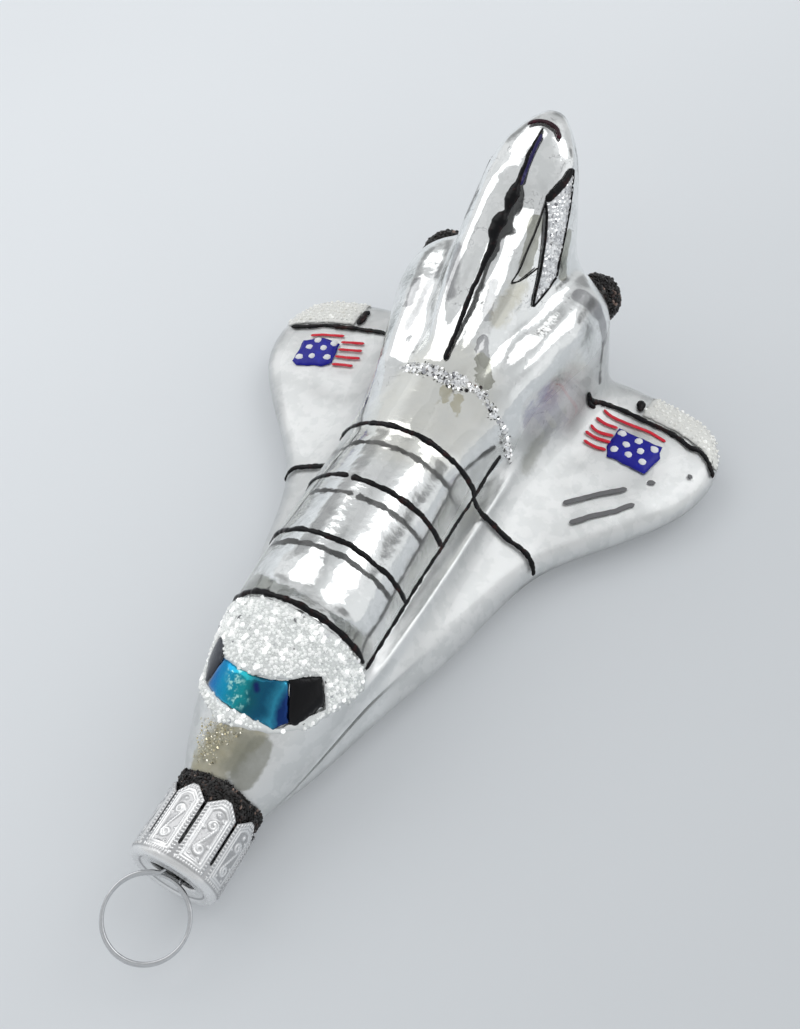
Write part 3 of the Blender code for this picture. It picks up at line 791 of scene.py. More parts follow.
def fallen(ends, ray, steps=8):
    """Points along a straight stretch, dropped onto the glass along their rays."""
    dropped = []
    (a0, b0), (a1, b1) = ends
    for k in range(steps + 1):
        origin, direction = ray(a0 + (a1 - a0) * k / steps, b0 + (b1 - b0) * k / steps)
        place = glass_tree.ray_cast(origin, direction)[0]
        dropped.append((place.x / MM, (place.y - CAP_FACE) / MM, place.z / MM))
    return dropped


def paint_stroke(name, paths, width, paint, height=0.28, uneven=0.35, swell=2.2, seed=0.0):
    """Strokes along rough paths. A point may have a fourth value, the brush's pressure there."""
    values = {
        "Glass": glass_shell, "Width": width * MM, "Height": height * MM, "Uneven": uneven,
        "Swell Length": swell * MM, "Seed": seed, "Paint": paint,
    }
    return grown(STROKE, path_curve([softened(p) for p in paths]), name, values)


# %% [markdown]
# Black enamel is glossy and nearly black, brown where it is thin. The grey strokes on the
# wing are the same paint with little pigment, and the last two short grey marks are a painted
# reflection, the dark bits of a glint.

# %% Enamel finishes


def enamel(name, deep, thin, roughness, gloss=0.3):
    """Paint with a deep and a thin colour. Its underside, seen in the silver, is painted paler: painted
    light, as if the silver lit it.
    """
    finish = Finish(name, roughness=roughness, specular_ior_level=gloss)
    face = finish.blend(finish.fade(finish.clouds(1.4, 3, 0.6), 0.5, 0.85), deep, thin)
    # Painted light: the underside is made paler than the paint, standing in for light from the silver below
    # it.
    pale = tuple(0.20 + 0.6 * c for c in deep)
    finish.set("Base Color", finish.blend(finish.attribute("under"), face, pale))
    finish.bump(finish.clouds(0.5, 2, 0.6, 1), 0.05)
    return finish.material


BLACK = enamel("black_enamel", (0.002, 0.002, 0.003), (0.060, 0.014, 0.012), 0.22, 0.2)
INK = enamel("window_black", (0.001, 0.001, 0.002), (0.004, 0.004, 0.006), 0.15, 0.25)
GREY = enamel("grey_wash", (0.16, 0.16, 0.165), (0.24, 0.24, 0.25), 0.4)
RED = enamel("red_enamel", (0.74, 0.012, 0.035), (0.85, 0.07, 0.09), 0.35)
BLUE = enamel("blue_enamel", (0.008, 0.008, 0.30), (0.010, 0.020, 0.50), 0.25)
WHITE = enamel("white_enamel", (0.88, 0.89, 0.91), (0.93, 0.93, 0.95), 0.4)
DARK_RED = enamel("dark_red_enamel", (0.020, 0.001, 0.006), (0.130, 0.006, 0.030), 0.2)
PURPLE = enamel("purple_film", (0.015, 0.010, 0.08), (0.20, 0.19, 0.36), 0.2)
# The left window's black made grey: painted sheen.
SHEEN_GREY_INK = enamel("smoke_paint", (0.055, 0.06, 0.075), (0.11, 0.12, 0.14), 0.15, 0.35)

# %% [markdown]
# The bay's four cross lines stop at a long line on each side. The other black lines edge the
# wings and elevons and run up the fin.

# %% Black lines
BAY_LINES = (32.8, 43.2, 53.0, 62.8)
BAY_HALF_WIDTH, BAY_SHOULDER, BAY_RISE = 10.5, 15, 9.8
SIDE_LINE = (
    (10.0, 32.7, 14.6, 1.8), (10.3, 34.2, 15.2), (10.6, 43, 15.9), (10.6, 53, 15.8), (10.7, 62.5, 15.8),
    (10.9, 70.4, 16.1),
)
WING_LINE = (
    (10.4, 62.5, 17.0), (11.2, 62.5, 13.4), (12.1, 63.0, 11.5), (13.7, 63.1, 9.7), (15.6, 62.8, 8.5, 1.3),
    (17.4, 62.5, 7.8, 1.3), (18.5, 62.2, 7.4), (19.7, 61.5, 6.5, 1.3), (20.4, 60.6, 5.0, 1.4),
)
HINGES = {
    "right": (
        (
            (16.1, 89.2, 12.4, 1.6), (16.7, 89.5, 10.4, 1.3), (17.7, 90.7, 9.4), (19.8, 91.6, 8.3),
            (22.8, 91.7, 7.7), (25.0, 91.4, 7.5, 0.8), (28.1, 91.2, 7.2, 1.2), (31.5, 90.2, 6.8),
            (33.6, 90.1, 6.5), (35.1, 89.2, 5.9), (36.4, 87.4, 5.0),
        ),
        ((16.2, 89.3, 12.0), (16.6, 88.8, 10.6, 1.7), (17.3, 89.2, 9.6, 0.6)),
    ),
    "left": (
        (
            (-35.1, 87.7, 6), (-32.8, 88.4, 8), (-30.2, 89.5, 8), (-27.5, 90.1, 8, 1.2), (-25.1, 90.6, 8),
            (-22.2, 90.9, 8, 1.2), (-19.8, 90.9, 8.3), (-18.0, 90.4, 9.0),
        ),
    ),
}
DIVIDERS = {
    "right": ((22.8, 95.4, 8), (22.85, 94.2, 8), (22.9, 93.0, 8)),
    "left": ((-24.7, 95.5, 8), (-24.7, 93.6, 8), (-24.5, 91.7, 8)),
}
FIN_STRIPE = (
    (0.2, 75.2, 25.9, 0.8), (0.1, 78.1, 27.3, 0.75), (0.0, 80.7, 28.7, 0.7), (-0.1, 83.4, 30.1, 0.8),
    (0.1, 86.5, 31.8, 0.75), (0.0, 88.8, 33.2, 0.95), (0.1, 91.0, 34.4, 1.2), (-0.3, 92.6, 35.3, 1.9),
    (-0.2, 94.0, 36.0, 2.2), (0.3, 95.2, 36.6, 1.0), (0.3, 96.6, 37.2, 1.7), (0.2, 98.2, 38.0, 2.1),
    (0.1, 99.5, 38.5, 0.9), (0.0, 102.0, 39.6, 0.65), (0.1, 104.8, 40.9, 0.5), (0.3, 107.6, 41.5, 0.4),
)
STRIPE_FILM = ((0.6, 99.0, 38.2), (0.5, 101.5, 39.4), (0.5, 104.0, 40.5), (0.5, 106.5, 41.2, 0.6))
FIN_TIP = (
    (-2.2, 107.6, 41), (-1.2, 108.5, 41.2), (0.4, 108.7, 41.5), (1.8, 108.1, 41.1), (2.9, 106.9, 41, 1.3),
)
WING_STROKES_AND_GLINT_MARKS = (
    (((19.6, 72.2, 8), (23.2, 75.7, 8), (26.8, 78.8, 8)),),
    (((21.8, 69.6, 8), (25.3, 73.1, 8), (28.8, 76.8, 8)),),
    # Painted reflection: two short grey marks for the dark bits of a glint on the wing.
    (((28.8, 81.1, 7), (30.0, 81.7, 7)), ((33.3, 85.5, 6), (34.1, 85.1, 6))),
)


def flipped(points, side):
    return [(side * x, *rest) for x, *rest in points]


def over_bay(y, first=-84, last=84, steps=14):
    """Points over the bay from one angle off the top to another."""
    points = []
    for k in range(steps + 1):
        angle = math.radians(first + (last - first) * k / steps)
        points.append((BAY_HALF_WIDTH * math.sin(angle), y, BAY_SHOULDER + BAY_RISE * math.cos(angle)))
    return points


def black_lines(name, node, paths, width, seed):
    dress(paint_stroke(name, paths, width, BLACK, uneven=1.0, swell=1.4, seed=seed), "black_paint", node)


for number, y in enumerate(BAY_LINES, 1):
    paths = [over_bay(y, -84, -15), over_bay(y + 0.1, -13, 84)] if number == 3 else [over_bay(y)]
    black_lines(f"line_over_bay_{number}", f"bay_line_{number}", paths, 0.85, number)
for side, word in ((1, "right"), (-1, "left")):
    black_lines(f"line_beside_bay_{word}", f"side_line_{word}", [flipped(SIDE_LINE, side)], 0.62, 10 + side)
    black_lines(f"line_over_wing_{word}", f"wing_line_{word}", [flipped(WING_LINE, side)], 0.8, 20 + side)
    black_lines(f"elevon_hinge_{word}", f"hinge_line_{word}", HINGES[word], 0.8, 30 + side)
    black_lines(f"elevon_divider_{word}", f"elevon_line_{word}", [DIVIDERS[word]], 1.15, 42 + side)
stripe = paint_stroke("stripe", [FIN_STRIPE], 0.95, BLACK, uneven=0.5, swell=1.6, seed=50)
film = paint_stroke("film", [STRIPE_FILM], 0.55, PURPLE, height=0.1, uneven=0.4, seed=52)
dress(joined("fin_edge_stripe", [stripe, film]), "black_paint", "fin_stripe")
dress(paint_stroke("fin_tip_arc", [FIN_TIP], 0.75, DARK_RED, seed=51), "black_paint", "fin_tip_line")
for number, paths in enumerate(WING_STROKES_AND_GLINT_MARKS, 1):
    stroke = paint_stroke(f"grey_dash_{number}", paths, 0.8, GREY, height=0.1, uneven=0.12, seed=60 + number)
    dress(stroke, "grey_paint", f"wing_stroke_{number}")


# %% [markdown]
# A patch of paint or glue is an outline filled with small triangles and dropped onto the
# glass. Its height falls to nothing at the edge, as wet paint does. The same function makes
# the windows, the flags and the glue under the glitter. A fixed seed makes its wavy outline
# the same in every run.

# %% Patches
PATCH_STEP = 0.45
WAVE_SEED = 3
LIFT, SINK = 0.02, 0.06
ABOVE, BESIDE = 60, 40
TO_THE_MIDDLE = 52
noise.seed_set(WAVE_SEED)


def rays_down(a, b):
    return at(a, b, ABOVE), Vector((0, 0, -1))


def rays_sideways(side):
    def ray(a, b):
        return at(side * BESIDE, a, b), Vector((-side, 0, 0))
    return ray


def coat_at(ray, height):
    """The top and the underside of a coat where the ray meets the glass."""
    origin, direction = ray
    place, normal, _, _ = glass_tree.ray_cast(origin, direction)
    if place is None:
        place, normal, _, _ = glass_tree.find_nearest(origin + direction * TO_THE_MIDDLE * MM)
    return place + normal * (height + LIFT) * MM, place - normal * SINK * MM


def wavy_loop(outline, wobble, step, seed):
    """The outline as closely spaced points that wander by wobble millimetres."""
    loop = []
    for (ax, ay), (bx, by) in zip(outline, [*outline[1:], outline[0]]):
        parts = max(1, round(math.hypot(bx - ax, by - ay) / step))
        for k in range(parts):
            x = ax + (bx - ax) * k / parts
            y = ay + (by - ay) * k / parts
            drift = noise.noise_vector(Vector((x / 1.1, y / 1.1, seed * 9.7)))
            loop.append((x + wobble * drift.x, y + wobble * drift.y))
    return loop


def inside(point, loop):
    """True where a line from the point crosses the loop an odd number of times."""
    crossed = False
    for (ax, ay), (bx, by) in zip(loop, [*loop[1:], loop[0]]):
        if (ay > point[1]) != (by > point[1]):
            crossed ^= point[0] < ax + (bx - ax) * (point[1] - ay) / (by - ay)
    return crossed


def edge_distance(points, loop):
    """Each point's distance to the nearest stretch of the loop."""
    start = np.array(loop)
    span = np.roll(start, -1, 0) - start
    offset = np.array(points)[:, None, :] - start[None]
    share = np.clip((offset * span).sum(2) / np.maximum((span**2).sum(1), 1e-9), 0, 1)
    return np.sqrt(((offset - share[..., None] * span) ** 2).sum(2)).min(1)


def patch(name, outline, ray, height, paint, wobble=0.25, step=PATCH_STEP, round_edge=0.8, seed=0, hole=()):
    """A closed sheet of paint on the glass, with its distance from the edge kept for later."""
    loops = [wavy_loop(outline, wobble, step, seed)]
    if hole:
        loops.append(wavy_loop(hole, wobble, step, seed + 1))

    def covered(point):
        return inside(point, loops[0]) and not (hole and inside(point, loops[1]))

    def from_edge(places):
        return np.min([edge_distance(places, loop) for loop in loops], axis=0)

    rng = random.Random(seed)
    xs, ys = zip(*loops[0])
    points = [Vector(p) for loop in loops for p in loop]
    edges = []
    for loop in loops:
        first = len(edges)
        edges += [(first + k, first + (k + 1) % len(loop)) for k in range(len(loop))]
    for i in range(int((max(xs) - min(xs)) / step) + 1):
        for j in range(int((max(ys) - min(ys)) / step) + 1):
            x = min(xs) + (i + rng.uniform(0.2, 0.8)) * step
            y = min(ys) + (j + rng.uniform(0.2, 0.8)) * step
            if covered((x, y)) and from_edge([(x, y)])[0] > 0.4 * step:
                points.append(Vector((x, y)))
    flat, _, faces, _, _, _ = geometry.delaunay_2d_cdt(points, edges, [], 1, 1e-5)
    faces = [f for f in faces if covered(sum((flat[k] for k in f), Vector((0, 0))) / len(f))]
    away = from_edge([tuple(p) for p in flat])
    heights = [height * min(1.0, distance / round_edge) ** 0.5 for distance in away]
    coat = [coat_at(ray(*point), rise) for point, rise in zip(flat, heights)]
    return closed_sheet(name, coat, faces, away, paint)


def closed_sheet(name, coat, faces, away, paint):
    """Top and underside with a wall round the rim."""
    bm = bmesh.new()
    layer = bm.verts.layers.float.new("edge")
    upper = [bm.verts.new(top) for top, _ in coat]
    lower = [bm.verts.new(bottom) for _, bottom in coat]
    for vert, distance in zip(upper, away):
        vert[layer] = distance
    for face in faces:
        bm.faces.new([upper[k] for k in face])
    bm.edges.ensure_lookup_table()
    rim = [e for e in bm.edges if len(e.link_faces) == 1]
    twin = dict(zip(upper, lower))
    for face in faces:
        bm.faces.new([lower[k] for k in reversed(face)])
    for edge in rim:
        a, b = edge.verts
        bm.faces.new((a, b, twin[b], twin[a]))
    bmesh.ops.recalc_face_normals(bm, faces=bm.faces)
    bmesh.ops.triangulate(bm, faces=bm.faces)
    mesh = mesh_from(bm, name)
    mesh.shade_smooth()
    return keep(name, mesh, paint)


# %% [markdown]
# The windshield is clear blue lacquer over the silver, greener in the middle. The side windows
# are black paint, and the left one is that black made grey: a painted sheen. Lacquer on a
# mirror is shiny metal with a tint, under a gloss coat.

# %% Windshield and windows
LACQUER_STOPS = (
    (0.0, (0.003, 0.09, 0.24)), (0.10, (0.001, 0.19, 0.52)), (0.28, (0.002, 0.34, 0.58)),
    (0.46, (0.008, 0.36, 0.40)), (0.58, (0.002, 0.12, 0.17)), (0.74, (0.001, 0.10, 0.20)),
    (0.84, (0.03, 0.32, 0.50)), (0.92, (0.0, 0.03, 0.17)),
)
LACQUER_LEFT, LACQUER_WIDTH = 6.4, 12.2
BROW = ((-5.2, 24.4), (-2.6, 23.6), (0, 23.3), (2.3, 23.8), (4.3, 24.7))
CHIN = ((5.9, 20.9), (4.5, 19.4), (2.0, 19.1), (-1.3, 19.2), (-3.8, 19.9), (-6.4, 21.2))
WINDOWS = {
    "right": (
        (4.25, 24.75), (5.6, 26.2), (7.1, 27.5), (7.9, 26.4), (8.5, 25.1), (7.5, 23.0), (6.4, 21.2),
        (5.85, 20.9),
    ),
    "left": (
        (-5.3, 24.4), (-6.4, 26.1), (-7.8, 27.4), (-8.5, 25.2), (-7.6, 22.9), (-6.9, 21.6), (-6.3, 21.5),
    ),
}


def teal_lacquer():
    finish = Finish("teal_lacquer", metallic=0.9, roughness=0.14, coat_weight=0.3, coat_roughness=0.04)
    swirl = finish.clouds(2.6, 3, 0.55)
    across = (finish.part(finish.where, "X") / MM + LACQUER_LEFT) / LACQUER_WIDTH + (swirl - 0.5) * 0.22
    tint = finish.ramp(across, LACQUER_STOPS)
    crazed = finish.fade(finish.clouds(0.7, 2, 0.7, 2), 0.5, 0.66)
    flecks = crazed * streak(finish, swirl, (-2.4, 22.6, 19.8), (-0.8, 20.4, 19), 0.9, 1.4, 0.8)
    tint = finish.blend(flecks, tint, (0.50, 0.95, 0.90))
    pool = streak(finish, swirl, (0.9, 22.4, 20.3), (1.2, 22.0, 20), 0.3, 0.5, 0.3)
    finish.set("Base Color", finish.blend(pool, tint, (0.002, 0.02, 0.14)))
    finish.bump(swirl, 0.12)
    return finish.material


band = patch("windshield_lacquer", (*BROW, *CHIN), rays_down, 0.25, teal_lacquer(), 0.12, seed=3)
dress(band, "teal_lacquer", "windshield")
for word, outline in WINDOWS.items():
    # The left window takes the grey black, a painted sheen.
    paint = INK if word == "right" else SHEEN_GREY_INK
    pane = patch(f"window_paint_{word}", outline, rays_down, 0.3, paint, 0.35, 0.3, seed=len(word))
    dress(pane, "black_paint", f"window_{word}")


# %% [markdown]
# Glitter is glue with thousands of grains in it. The glue is a patch. A second tree scatters
# grains over it, each turned and sized at random and with its own tone. They thin out
# towards the edge, where the brush left less glue.

# %% Glitter tree
SIZE_SPREAD = (0.55, 1.25)
DENSEST = 2e8
FULL_TURN = 6.283


def glitter_tree():
    """Scatters grains, leans each by up to the tilt and gives each a tone from 0 to 1."""
    board = Recipe(
        "glitter", Glue="Geometry", Grain="Object", Size="Float", Spacing="Float", Thin_Edge="Float",
        Tilt="Float", Seed="Int", Finish="Material",
    )
    glue, grain, size, spacing, thin, tilt, seed, finish = board.given
    away = board.step("InputNamedAttribute", data_type="FLOAT", Name="edge")
    scatter = board.step(
        "DistributePointsOnFaces", distribute_method="POISSON", Mesh=glue, Selection=away > 0.01,
        Distance_Min=spacing, Density_Max=DENSEST, Density_Factor=board.fade(away, -0.1, thin), Seed=seed,
    )
    shape = board.step("ObjectInfo", "Geometry", Object=grain)
    low, high = (size * share for share in SIZE_SPREAD)
    number = {"data_type": "FLOAT"}
    scale = board.node("FunctionNodeRandomValue", number, {2: low, 3: high, "Seed": seed}, 1)
    planted = board.step(
        "InstanceOnPoints", Points=scatter, Instance=shape, Rotation=scatter.sibling("Rotation"), Scale=scale
    )
    lean = board.node("ShaderNodeCombineXYZ", {}, {"X": tilt, "Y": tilt, "Z": FULL_TURN})
    backward = board.node("ShaderNodeCombineXYZ", {}, {"X": 0 - tilt, "Y": 0 - tilt, "Z": 0.0})
    limits = {0: backward, 1: lean, "Seed": 7}
    turn = board.node("FunctionNodeRandomValue", {"data_type": "FLOAT_VECTOR"}, limits)
    rotation = board.node("FunctionNodeEulerToRotation", {}, {0: turn})
    turned = board.step("RotateInstances", Instances=planted, Rotation=rotation)
    tone = board.node("FunctionNodeRandomValue", number, {2: 0.0, 3: 1.0, "Seed": 11}, 1)
    toned = board.step("StoreNamedAttribute", domain="INSTANCE", Geometry=turned, Name="tone", Value=tone)
    return board.finished(toned, finish)


GLITTER = glitter_tree()


def stencil(name):
    """A grain of about unit radius: a rough bead, a six-sided flake or a lumpy chip."""
    bm = bmesh.new()
    if name == "flake":
        bmesh.ops.create_cone(bm, cap_ends=True, segments=6, radius1=1.0, radius2=1.0, depth=0.16)
    else:
        bmesh.ops.create_icosphere(bm, subdivisions=1, radius=1.0)
    if name == "chip":
        for vert in bm.verts:
            vert.co *= 1 + 0.5 * noise.noise(vert.co * 3.1)
        bmesh.ops.scale(bm, verts=bm.verts, vec=(1, 0.8, 0.55))
    return keep(name, mesh_from(bm, name))


STENCILS = [stencil(name) for name in ("bead", "flake", "chip")]
BEAD, FLAKE, CHIP = STENCILS


def glitter(name, glue, grain, size, spacing, finish, thin=0.9, tilt=0.5, seed=1):
    """Grains over a glue patch."""
    carrier = keep("carrier", glue.data.copy())
    values = {
        "Grain": grain, "Size": size * MM, "Spacing": spacing * MM, "Thin Edge": thin,
        "Tilt": tilt, "Seed": seed, "Finish": finish,
    }
    return grown(GLITTER, carrier, name, values)


# %% [markdown]
# Five glitters: white beads on the nose, cream ones on the elevons, gold flakes below the
# windshield, silver foil flakes on the nose, the bay and the fin, and coarse black chips, a
# few of them brown, on the collar and the pods.

# %% Glitter finishes
PAINTED_SPARKLE_START, PAINTED_SPARKLE_FULL = 0.90, 0.96


def toned_finish(name, stops, roughness, metallic, coat=0.3, painted_glow=0.0):
    """Each grain has its own tone. With a glow, every grain glows faintly and the lightest ones glow
    brightly: painted glow and painted sparkle.
    """
    finish = Finish(name, coat_weight=coat, coat_roughness=0.1, emission_strength=painted_glow)
    tone = finish.attribute("tone")
    brightest = stops[-1][1]
    # Painted light: every grain glows faintly in a dim copy of the lightest colour, and the lightest grains
    # glow fully, as painted sparkle.
    dim = tuple(0.25 * c for c in brightest)
    finish.set("Base Color", finish.ramp(tone, stops))
    finish.set("Emission Color", finish.blend(finish.fade(tone, PAINTED_SPARKLE_START, PAINTED_SPARKLE_FULL), dim, brightest))
    finish.set("Roughness", roughness + 0.15 * finish.clouds(0.3, 1))
    finish.set("Metallic", metallic * finish.fade(tone, 0.2, 0.5))
    return finish.material


WHITE_BEADS = toned_finish(
    "white_beads",
    (
        (0.0, (0.10, 0.10, 0.10)), (0.015, (0.60, 0.63, 0.61)), (0.4, (0.86, 0.89, 0.87)),
        (1.0, (0.99, 0.99, 0.98)),
    ),
    0.10, 0.0, 1.0, 0.55,
)
CREAM_BEADS = toned_finish(
    "cream_beads",
    ((0.0, (0.88, 0.87, 0.82)), (0.5, (0.93, 0.93, 0.89)), (1.0, (0.98, 0.98, 0.95))),
    0.3, 0.0, 0.5, 0.25,
)
GOLD_FLAKES = toned_finish(
    "gold_flakes",
    ((0.0, (0.42, 0.36, 0.20)), (0.6, (0.82, 0.76, 0.55)), (1.0, (1.0, 0.98, 0.90))),
    0.12, 1.0,
)
SILVER_FLAKES = toned_finish(
    "silver_flakes",
    (
        (0.0, (0.03, 0.03, 0.05)), (0.07, (0.40, 0.41, 0.44)), (0.25, (0.88, 0.89, 0.90)),
        (1.0, (1.0, 1.0, 1.0)),
    ),
    0.10, 1.0, 0.3, 0.25,
)
BLACK_CHIPS = toned_finish(
    "black_chips",
    (
        (0.0, (0.002, 0.002, 0.002)), (0.75, (0.007, 0.005, 0.005)), (0.94, (0.035, 0.018, 0.015)),
        (1.0, (0.36, 0.26, 0.22)),
    ),
    0.3, 0.2, 0.12,
)


def glue_finish(name, colour, roughness):
    finish = Finish(name, roughness=roughness, coat_weight=0.5)
    cloud = finish.clouds(0.6, 3)
    dark = tuple(0.75 * c for c in colour)
    finish.set("Base Color", finish.blend(cloud, dark, colour))
    finish.bump(cloud, 0.12)
    return finish.material


WHITE_GLUE = glue_finish("white_glue", (0.93, 0.95, 0.94), 0.4)
CREAM_GLUE = glue_finish("cream_glue", (0.95, 0.95, 0.91), 0.3)
SILVER_GLUE = glue_finish("silver_glue", (0.74, 0.75, 0.77), 0.35)
BLACK_GLUE = glue_finish("black_glue", (0.012, 0.009, 0.008), 0.5)

# %% [markdown]
# The nose glitter runs from the first bay line down round the windows, with a narrow beaded
# lip under the windshield. The glass that the windows cover is left clear, so the patch has
# a hole there. Below the lip a dusting of gold flakes lies on the bare glass.

# %% Nose and elevon glitter
NOSE_EDGE = (
    (10.2, 32.3), (10.0, 30.5), (9.6, 27.5), (9.1, 25.1), (7.9, 22.2), (5.8, 19.8), (4.2, 18.7), (2.1, 18.0),
    (-0.1, 17.4), (-2.8, 17.6), (-5.8, 19.3), (-7.9, 21.2), (-9.4, 24.5), (-10.0, 28.0), (-10.0, 32.3),
)
GLAZED = (*WINDOWS["left"][1:6], *CHIN[::-1][1:-1], *WINDOWS["right"][::-1][1:-1], *BROW[::-1])
GOLD_PATCH = ((-5.4, 18.2), (-2.0, 17.9), (2.6, 17.9), (0.6, 15.8), (-0.6, 12.8), (-3.6, 12.4), (-4.8, 15.2))
ELEVONS = {
    "right": (
        (23.6, 92.5), (28.8, 92.0), (33.4, 90.9), (36.4, 88.6), (37.5, 88.6), (37.6, 91.4), (36.4, 95.0),
        (33, 97.6), (28, 98.3), (23.7, 98.2),
    ),
    "left": (
        (-25.4, 91.4), (-29.0, 90.7), (-33.0, 89.2), (-35.8, 88.2), (-37.2, 89.2), (-36.6, 93.4),
        (-34.2, 96.6), (-30, 98.0), (-25.4, 98.2),
    ),
}


def frosted(name, outline, glue, beads, spacing, hole=(), seed=0):
    """Glue with beads in it, for a patch seen from above."""
    base = patch("glue", outline, rays_down, 0.2, glue, 0.3, 0.38, seed=seed, hole=hole)
    return [base, glitter("beads", base, BEAD, 0.28, spacing, beads, thin=0.3, seed=seed)]


nose = frosted("nose", NOSE_EDGE, WHITE_GLUE, WHITE_BEADS, 0.40, GLAZED, 11)
nose.append(glitter("foil", nose[0], FLAKE, 0.30, 0.95, SILVER_FLAKES, thin=0.2, tilt=1.1, seed=15))
dust = patch("dust", GOLD_PATCH, rays_down, 0.01, WHITE_GLUE, 0.4, seed=15)
nose.append(glitter("gold", dust, FLAKE, 0.16, 0.34, GOLD_FLAKES, thin=1.2, tilt=0.9, seed=15))
bpy.data.objects.remove(dust)
dress(joined("nose_glitter_coat", nose), "white_glitter", "nose_glitter")
for word, outline in ELEVONS.items():
    layers = frosted("elevon", outline, CREAM_GLUE, CREAM_BEADS, 0.7, seed=20 + len(word))
    dress(joined(f"elevon_beads_{word}", layers), "white_glitter", f"elevon_glitter_{word}")


# %% [markdown]
# Silver foil glitter: a thin arc over the aft end of the bay and a panel on each side of the
# fin with a black outline.

# %% Silver glitter
ARC = (
    (-6.2, 72.8), (-3.9, 72.6), (-1.0, 72.0), (2.4, 71.6), (4.8, 72.5), (7.3, 72.5), (9.3, 71.8),
    (10.8, 71.3), (11.9, 71.3), (12.1, 72.7), (10.9, 73.0), (9.1, 73.5), (7.0, 74.4), (4.6, 74.6),
    (2.2, 74.4), (-0.2, 74.6), (-2.4, 74.8), (-4.4, 74.4), (-6.2, 73.6),
)
RIM_WIDTHS = {"right": (1.25, 0.45, 0.35, 0.35, 0.35), "left": (0.4, 0.4, 0.4, 0.4, 0.4)}
FORE_EDGE = (
    ((4.4, 99.1, 36.9), (4.7, 96.0, 35.1), (4.7, 92.6, 33.3), (4.7, 89.9, 31.9), (4.3, 88.0, 31.0)),
    ((4.3, 88.0, 31.0), (5.3, 88.9, 30.9, 1.6), (6.0, 91.2, 30.9), (6.3, 92.2, 30.9)),
)
FIN_PANELS = {
    "right": ((98.8, 36.9), (105.3, 38.2), (103.7, 36.6), (94.8, 27.5), (88.8, 26.7)),
    "left": ((104.8, 36.4), (109.0, 37.0), (107.8, 35.0), (101.8, 29.3), (98.2, 28.8)),
}

arc_glue = patch("arc_glue", ARC, rays_down, 0.08, SILVER_GLUE, 0.8, 0.35, seed=31)
arc = [glitter("arc_flakes", arc_glue, FLAKE, 0.27, 0.26, SILVER_FLAKES, thin=0.8, tilt=0.8, seed=31)]
arc.append(glitter("arc_specks", arc_glue, FLAKE, 0.24, 0.8, BLACK_CHIPS, thin=0.2, tilt=0.8, seed=33))
bpy.data.objects.remove(arc_glue)
dress(joined("arc_of_foil_glitter", arc), "silver_glitter", "glitter_arc")
for side, word in ((1, "right"), (-1, "left")):
    sideways = rays_sideways(side)
    outline = FIN_PANELS[word]
    glue = patch(f"panel_glue_{word}", outline, sideways, 0.15, SILVER_GLUE, 0.15, seed=40 + side)
    grains = glitter("panel_grains", glue, FLAKE, 0.24, 0.25, SILVER_FLAKES, thin=0.2, seed=40 + side)
    layers = [glue, grains]
    for width, *ends in zip(RIM_WIDTHS[word], outline, (*outline[1:], outline[0])):
        layers.append(paint_stroke("rim", [fallen(ends, sideways)], width, BLACK, uneven=0.5, seed=44 + side))
    if word == "right":
        layers.append(paint_stroke("fore_edge", FORE_EDGE, 0.22, BLACK, uneven=0.5, seed=47))
    dress(joined(f"fin_foil_panel_{word}", layers), "silver_glitter", f"fin_panel_{word}")


# %% [markdown]
# Black glitter: a ring of it where the cap meets the nose, and the round end of each pod.

# %% Black glitter
NECK_Z = 7.65
NECK_RADIUS = 5.6
COLLAR_START, COLLAR_END, COLLAR_HEIGHT = 8.2, 12.0, 0.35
COLLAR_COLUMNS, COLLAR_ROWS = 72, 8
POD_BALLS = {"right": (11.6, 101.5, 18.6, 3.9), "left": (-12.6, 101.5, 17.4, 4.7)}
POD_GRAIN_ROOM = 0.35


def around_neck(a, b):
    """A ray towards the neck's axis, a millimetres round it and b millimetres from the face."""
    turn = a / NECK_RADIUS
    out = Vector((math.sin(turn), 0, math.cos(turn)))
    return at(0, b, NECK_Z) + out * 12 * MM, -out


def neck_sheet():
    """Glue round the neck. Its aft edge wanders and its height falls to both edges."""
    coat, away, faces = [], [], []
    for k in range(COLLAR_COLUMNS):
        angle = 2 * math.pi * k / COLLAR_COLUMNS
        wander = 0.35 * noise.noise(Vector((math.cos(angle) * 2, math.sin(angle) * 2, 3)))
        a = NECK_RADIUS * 2 * math.pi * k / COLLAR_COLUMNS
        for r in range(COLLAR_ROWS + 1):
            share = r / COLLAR_ROWS
            y = COLLAR_START + (COLLAR_END + wander - COLLAR_START) * share
            rise = COLLAR_HEIGHT * min(1.0, (1 - share) * 4, share * 8) ** 0.5
            coat.append(coat_at(around_neck(a, y), rise))
            away.append(min(share, 1 - share) * (COLLAR_END - COLLAR_START) + 0.15)
        for r in range(COLLAR_ROWS):
            near = k * (COLLAR_ROWS + 1) + r
            far = (k + 1) % COLLAR_COLUMNS * (COLLAR_ROWS + 1) + r
            faces.append((near, near + 1, far + 1, far))
    return closed_sheet("collar_glue", coat, faces, away, BLACK_GLUE)


def pod_end(word):
    """A ball of glue in the pod's end. Grains grow only where it stands out of the glass."""
    x, y, z, radius = POD_BALLS[word]
    bm = bmesh.new()
    bmesh.ops.create_icosphere(bm, subdivisions=4, radius=(radius - POD_GRAIN_ROOM) * MM)
    bmesh.ops.translate(bm, verts=bm.verts, vec=at(x, y, z))
    layer = bm.verts.layers.float.new("edge")
    for vert in bm.verts:
        place, normal, _, _ = glass_tree.find_nearest(vert.co)
        vert[layer] = (vert.co - place).dot(normal) / MM
    mesh = mesh_from(bm, "pod_end")
    mesh.shade_smooth()
    return keep("pod_end", mesh, BLACK_GLUE)


